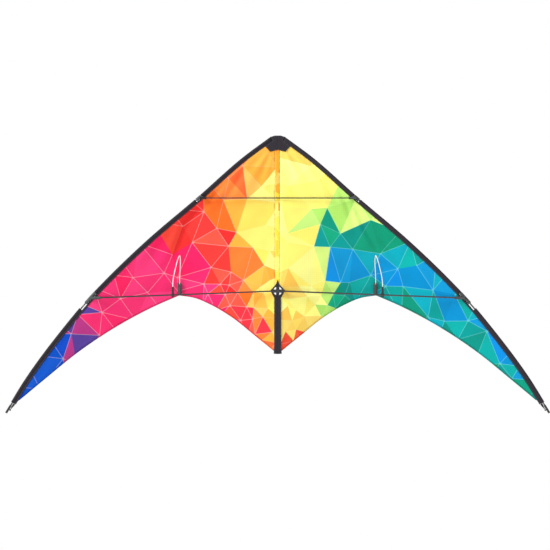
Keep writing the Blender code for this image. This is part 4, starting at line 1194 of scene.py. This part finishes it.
def make_tunnel(part, low, high):
    """The tunnel behind: a strip whose middle is an arch round the spine and whose edges lie flat on the band."""
    x = np.linspace(-TUNNEL_HALF, TUNNEL_HALF, 27)
    arch = SPINE_Y + np.sqrt(np.clip(TUNNEL_RADIUS ** 2 - x ** 2, 0, None))
    skirt = 0.00045 + SPINE_Y * (1 - soft_step(np.abs(x), 0.0031, 0.0046))
    y = np.maximum(np.where(np.abs(x) < TUNNEL_RADIUS, arch, 0.0), skirt)
    z = np.linspace(low, high, 60 if part == "upper" else 24)
    ripple = 0.00012 * np.sin(z * 310)[:, None] * (y > 0.002)
    grid = np.stack([x + 0 * z[:, None], SAIL_Y + y + ripple, z[:, None] + 0 * x], -1)
    across = np.concatenate([[0.0], np.cumsum(np.hypot(np.diff(x), np.diff(y)))]) - 0.0095
    mesh = grid_mesh(part + "_spine_tunnel", grid, z, across, flip=True)
    return thicken(finish_mesh(mesh, TUNNEL_TAPE, "spine", angle=70), 0.0003)


BAND_PIECES = {part: (make_band(part, low, high), make_tunnel(part, low, high)) for part, low, high in BANDS}
print("bands", list(BAND_PIECES))

# %% [markdown]
# ### Nose and centre patches
# The nose and the middle take the most strain, so both are covered with patches of the dark tape, sewn round
# their edges. A patch crosses both folding seams. It is cut in two down the middle. Each point knows how far it is
# from the cut edge, which is where the stitches run.

# %% Patches
NOSE_TOP, NOSE_TOP_END = 0.4096, 0.0204
NOSE_FRONT = np.array(((0.0, NOSE_TOP), (0.0088, NOSE_TOP), (NOSE_TOP_END, NOSE_TOP), (0.0138, 0.4009),
                       (0.0146, 0.3998), (0.0334, 0.3852), (0.0204, 0.3706), (0.0, 0.3757)))
NOSE_BACK = NOSE_FRONT.copy()
NOSE_BACK[3:5] = (0.0242, 0.4060), (0.0172, 0.3966)  # it goes on behind the sleeve's end
CENTRE_OUTLINE = np.array(((0.0, 0.0300), (0.0050, 0.0170), (0.0198, 0.0010), (0.0090, -0.0190), (0.0095, -0.1500),
                           (0.0108, -0.1675), (0.0, -0.1675)))
PATCH_Y, NOSE_BACK_Y, PATCH_STEP, PATCH_THICKNESS, BEND_WIDTH = -0.0014, 0.0074, 0.0022, 0.0005, 0.0100


def refined(outline, step=0.0025):
    """The same closed outline with a point at least every step."""
    steps = [max(int(np.ceil(np.linalg.norm(b - a) / step)), 1) for a, b in zip(outline, np.roll(outline, -1, 0))]
    return np.concatenate([a + (b - a) * np.linspace(0, 1, n, endpoint=False)[:, None]
                           for a, b, n in zip(outline, np.roll(outline, -1, 0), steps)])


def inside_outline(outline, p):
    """Which places lie inside a closed outline: those with an odd number of its sides to their right."""
    a, b, p = outline[None], np.roll(outline, -1, 0)[None], p[:, None]
    crossed = (a[..., 1] > p[..., 1]) != (b[..., 1] > p[..., 1])
    rise = np.where(crossed, b[..., 1] - a[..., 1], 1.0)
    met = a[..., 0] + (p[..., 1] - a[..., 1]) * (b[..., 0] - a[..., 0]) / rise
    return (crossed & (p[..., 0] < met)).sum(1) % 2 == 1


def from_edge(p, sides):
    """Distance of places from the nearest of some sides, and how far along the sides that nearest point is."""
    a, way = sides[:, 0][None], (sides[:, 1] - sides[:, 0])[None]
    size = np.linalg.norm(way, axis=-1)
    t = np.clip(((p[:, None] - a) * way).sum(-1) / size ** 2, 0, 1)
    off = np.linalg.norm(p[:, None] - a - way * t[..., None], axis=-1)
    k, row = off.argmin(1), np.arange(len(p))
    start = np.concatenate([[0.0], np.cumsum(size[0])[:-1]])
    return np.stack([off[row, k], start[k] + t[row, k] * size[0][k]])


def sides_of(line):
    return np.stack([line[:-1], line[1:]], 1)


def sew_patch(name, node, side, places, faces, flat, sewn):
    """Half a patch with its stitches' distances."""
    mesh = cloth_mesh(name, places, faces, flat, side)
    order = (faces if side > 0 else faces[:, ::-1]).ravel()
    for title, values in zip(("edge_distance", "edge_along"), sewn):
        corner_data(mesh, title, "FLOAT", "value", values[order])
    obj = finish_mesh(mesh, PATCH_TAPE, replaces=[node], angle=80)
    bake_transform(obj)
    return thicken(obj, PATCH_THICKNESS)


def make_centre_patch(word, side):
    """Half of the diamond and the strip below it, with its half of the round hole."""
    angle = np.linspace(-np.pi / 2, np.pi / 2, 25)
    arc = HOLE_RADIUS * np.stack([np.cos(angle), np.sin(angle)], 1)
    holds = lambda p: inside_outline(CENTRE_OUTLINE, p) & (np.hypot(*p.T) > HOLE_RADIUS)
    flat, faces = cut_cloth(refined(np.concatenate([CENTRE_OUTLINE, arc])), holds, PATCH_STEP, seed=4)
    x, z = flat.T
    rumple = 0.00016 * np.sin(z * 190 + side) * np.sin(x * 330) + 0.00010 * np.sin(z * 410)
    sewn = from_edge(flat, np.concatenate([sides_of(CENTRE_OUTLINE[:-1]), sides_of(arc)]))
    places = np.stack([x, SAIL_Y + PATCH_Y + rumple, z], 1)
    return (sew_patch(word + "_centre_patch", "centre_patch", side, places, faces, flat, sewn),
            flat_area(flat, faces))


def make_nose_patch(word, side):
    """The front and back layers, joined over the top by a half-round fold."""
    cuts, layers, tops, sewn = [], [], [], []
    for outline, y, seed in ((NOSE_FRONT, PATCH_Y, 6), (NOSE_BACK, NOSE_BACK_Y, 7)):
        flat, faces = cut_cloth(refined(outline), lambda p: inside_outline(outline, p), PATCH_STEP, seed=seed)
        x, z = flat.T
        rumple = 0.00012 * np.sin(x * 420 + z * 260) * soft_step(NOSE_TOP - z, 0, 0.004)
        row = np.flatnonzero(z > NOSE_TOP - 0.00005)
        cuts.append((flat, faces))
        layers.append(np.stack([x, SAIL_Y + y + rumple, z], 1))
        tops.append(row[np.argsort(x[row])])
        sewn.append(from_edge(flat, sides_of(outline[2:])))
    (flat, faces), (flat_b, faces_b) = cuts
    turn = np.radians(np.linspace(0, 180, 13))[1:-1]
    top = flat[tops[0], 0]
    half, middle = (NOSE_BACK_Y - PATCH_Y) / 2, (NOSE_BACK_Y + PATCH_Y) / 2
    tall = half * (1 - 0.8 * soft_step(top, 0.006, NOSE_TOP_END))
    strip = np.stack([top[:, None] + 0 * turn, SAIL_Y + middle - half * np.cos(turn) + 0 * top[:, None],
                      NOSE_TOP + tall[:, None] * np.sin(turn)], -1).reshape(-1, 3)
    n, m = len(flat), len(flat) + len(flat_b)
    rows = np.concatenate([tops[0][:, None], m + np.arange(len(strip)).reshape(len(top), -1), tops[1][:, None] + n], 1)
    a, b, c, d = rows[:-1, :-1], rows[1:, :-1], rows[1:, 1:], rows[:-1, 1:]
    fold = [np.stack(corners, -1).reshape(-1, 3) for corners in ((a, b, c), (a, c, d))]
    tris = np.concatenate([faces, faces_b[:, ::-1] + n, *fold])
    over_top = np.stack([strip[:, 0], NOSE_TOP + np.tile(turn * half, len(top))], 1)
    sewn.append(np.stack([np.full(len(strip), 0.02), strip[:, 0]]))
    obj = sew_patch(word + "_nose_patch", "nose_patch", side, np.concatenate([*layers, strip]), tris,
                    np.concatenate([flat, flat_b * (1, -1), over_top]), np.concatenate(sewn, 1))
    return obj, flat_area(flat, faces) + flat_area(flat_b, faces_b) + float(np.pi * half * np.ptp(top))


CENTRE_PATCHES = {word: make_centre_patch(word, side) for word, side in SIDES}
NOSE_PATCHES = {word: make_nose_patch(word, side) for word, side in SIDES}
print("patches:", [p[0].name for p in (*CENTRE_PATCHES.values(), *NOSE_PATCHES.values())])

# %% [markdown]
# ## The tail strap, the tip cords and the cusp patches
# A strap of webbing folds under the spine's lower end and up behind it. At each wing tip a short cord comes out of
# the sleeve, runs along the rod and is knotted beside the nock. A small round of tape backs the cloth where the
# stand-off pushes it.

# %% Tail strap
STRAP_Z, STRAP_HALF, LEAF_HALF, STRAP_BACK_Y = -0.1674, 0.0058, 0.0055, 0.0086
STRAP_STATIONS = ((-0.0004, 0.0006), (0.0004, 0.0), (0.0040, -0.0001), (0.0076, 0.0001), (STRAP_BACK_Y, 0.0014),
                  (STRAP_BACK_Y, 0.0120), (STRAP_BACK_Y, 0.0240), (STRAP_BACK_Y, 0.0336))  # (y, up)
strap_line = smooth_path([(0, SAIL_Y + y, STRAP_Z + up) for y, up in STRAP_STATIONS], 72)
run = lengths(strap_line)
half_width = LEAF_HALF + (STRAP_HALF - LEAF_HALF) * (1 - soft_step(run, 0.0085, 0.0120))
across = np.linspace(-1, 1, 15)
grid = np.repeat(strap_line[:, None], len(across), 1)
grid[..., 0] = half_width[:, None] * across
grid[..., 1] += 0.00010 * np.cos(across * np.pi)[None] * (run > 0.010)[:, None]
strap = grid_mesh("webbing_strap", grid, run, across * LEAF_HALF)
thicken(finish_mesh(strap, STRAP_TAPE, "tail_flap", ["tail_strap"], angle=70), 0.0007)
print("strap", round(float(run[-1]) * 1000, 1), "mm long")

# %% Tip cords and cusp patches
CORD_RADIUS, KNOT_RADIUS, CORD_SIDES = 0.0008, 0.0021, 18
CUSP_MIDDLE, CUSP_RINGS = (CUSP[0] - 0.003, 0.004), np.array([0.0006, 0.003, 0.0055, 0.0078, 0.0092, 0.0100])


def make_tip_cord(word, side):
    """A cord of three strands: a circle whose radius swells three times round and turns along the cord. It is
    spread flat where the sleeve holds it, and its end is swollen into a knot with a crossing groove."""
    start, way = (v[0] for v in along_edge(SLEEVE_END_AT, 0.0060))
    start = start + way * 0.0005
    end = along_edge(1.0, 0.0052)[0][0] - along_edge(0.985)[1][0] * 0.0100
    line = start + (end - start) * np.linspace(0, 1, 60)[:, None]
    run = lengths(line)
    turn = np.arange(CORD_SIDES) / CORD_SIDES * 2 * np.pi
    twist = 1 + 0.16 * np.cos(3 * (turn + run[:, None] * 1400))
    to_knot = (run[-1] - run)[:, None]
    ball = np.sqrt(np.clip(1 - ((to_knot - KNOT_RADIUS) / KNOT_RADIUS) ** 2, 0, 1))
    groove = 1 - 0.14 * np.cos(2 * turn + to_knot * 2600) * (ball > 0)
    radius = np.maximum(CORD_RADIUS * 0.88 * twist * np.clip(to_knot / 0.0004, 0.2, 1), KNOT_RADIUS * ball * groove)
    flattened = 1 + 3.2 * (1 - soft_step(run, 0.002, 0.85 * run[-1]))[:, None]
    grid = carried(line, np.stack([np.cos(turn) * radius * flattened, np.sin(turn) * radius], -1))
    around = np.arange(CORD_SIDES + 1) / CORD_SIDES * 2 * np.pi * CORD_RADIUS
    mesh = outward(grid_mesh(word + "_cord", mirrored(grid, side), run, around, around=True, capped=True))
    finish_mesh(mesh, CORD, word + "_wing", [word + "_tip_cord"], angle=60)
    return float(run[-1])


def rings(sizes, count):
    """A flat disc's points as rings round its middle."""
    turn = np.arange(count) / count * 2 * np.pi
    return sizes[:, None] * np.cos(turn), sizes[:, None] * np.sin(turn)


def make_cusp_patch(word, side):
    """A disc of tape in rings round its middle, laid on the back of the billowed cloth."""
    x, z = rings(CUSP_RINGS, 48)
    back = float(billow(*(np.array([v]) for v in CUSP_MIDDLE))[0])
    grid = mirrored(np.stack([CUSP_MIDDLE[0] + x, SAIL_Y + back + 0.0026 + 0 * x, CUSP_MIDDLE[1] + z], -1), side)
    mesh = grid_mesh(word + "_cusp_patch", grid, CUSP_RINGS, np.arange(49) / 48 * 0.0534, around=True, flip=side < 0)
    close_middle(mesh, 0.0004)
    return thicken(finish_mesh(mesh, CUSP_TAPE, word + "_wing", [word + "_standoff_patch"], angle=70),
                   0.0006)


print("tip cords", [round(make_tip_cord(word, side), 4) for word, side in SIDES], "m")
CUSP_PATCHES = {word: make_cusp_patch(word, side) for word, side in SIDES}

# %% [markdown]
# ## The floor
# The sleeve is a tape folded in two. The floor is one pale disc with a slight unevenness, well below the kite.

# %% Floor
FLOOR_Z, FLOOR_RINGS = -1.05, np.array([0.01, 0.6, 1.2, 1.8, 2.2])
x, y = rings(FLOOR_RINGS, 96)
floor_mesh = grid_mesh("floor", np.stack([x, y, 0 * x + FLOOR_Z], -1), FLOOR_RINGS, np.arange(97.0), around=True)
close_middle(floor_mesh, 0.001)
floor_finish, tree = finish("pale floor", 0.9)
mottle = use(HANDLED, Vector=object_place(tree), Size=0.5)[0]
floor_mesh.materials.append(dress(floor_finish, mix(mottle, shade(240, 240, 240), shade(250, 250, 250))))
floor = bpy.data.objects.new("floor", floor_mesh)
scene.collection.objects.link(floor)
print("floor at", FLOOR_Z)

for word, side in SIDES:
    sail, area = SAILS[word]
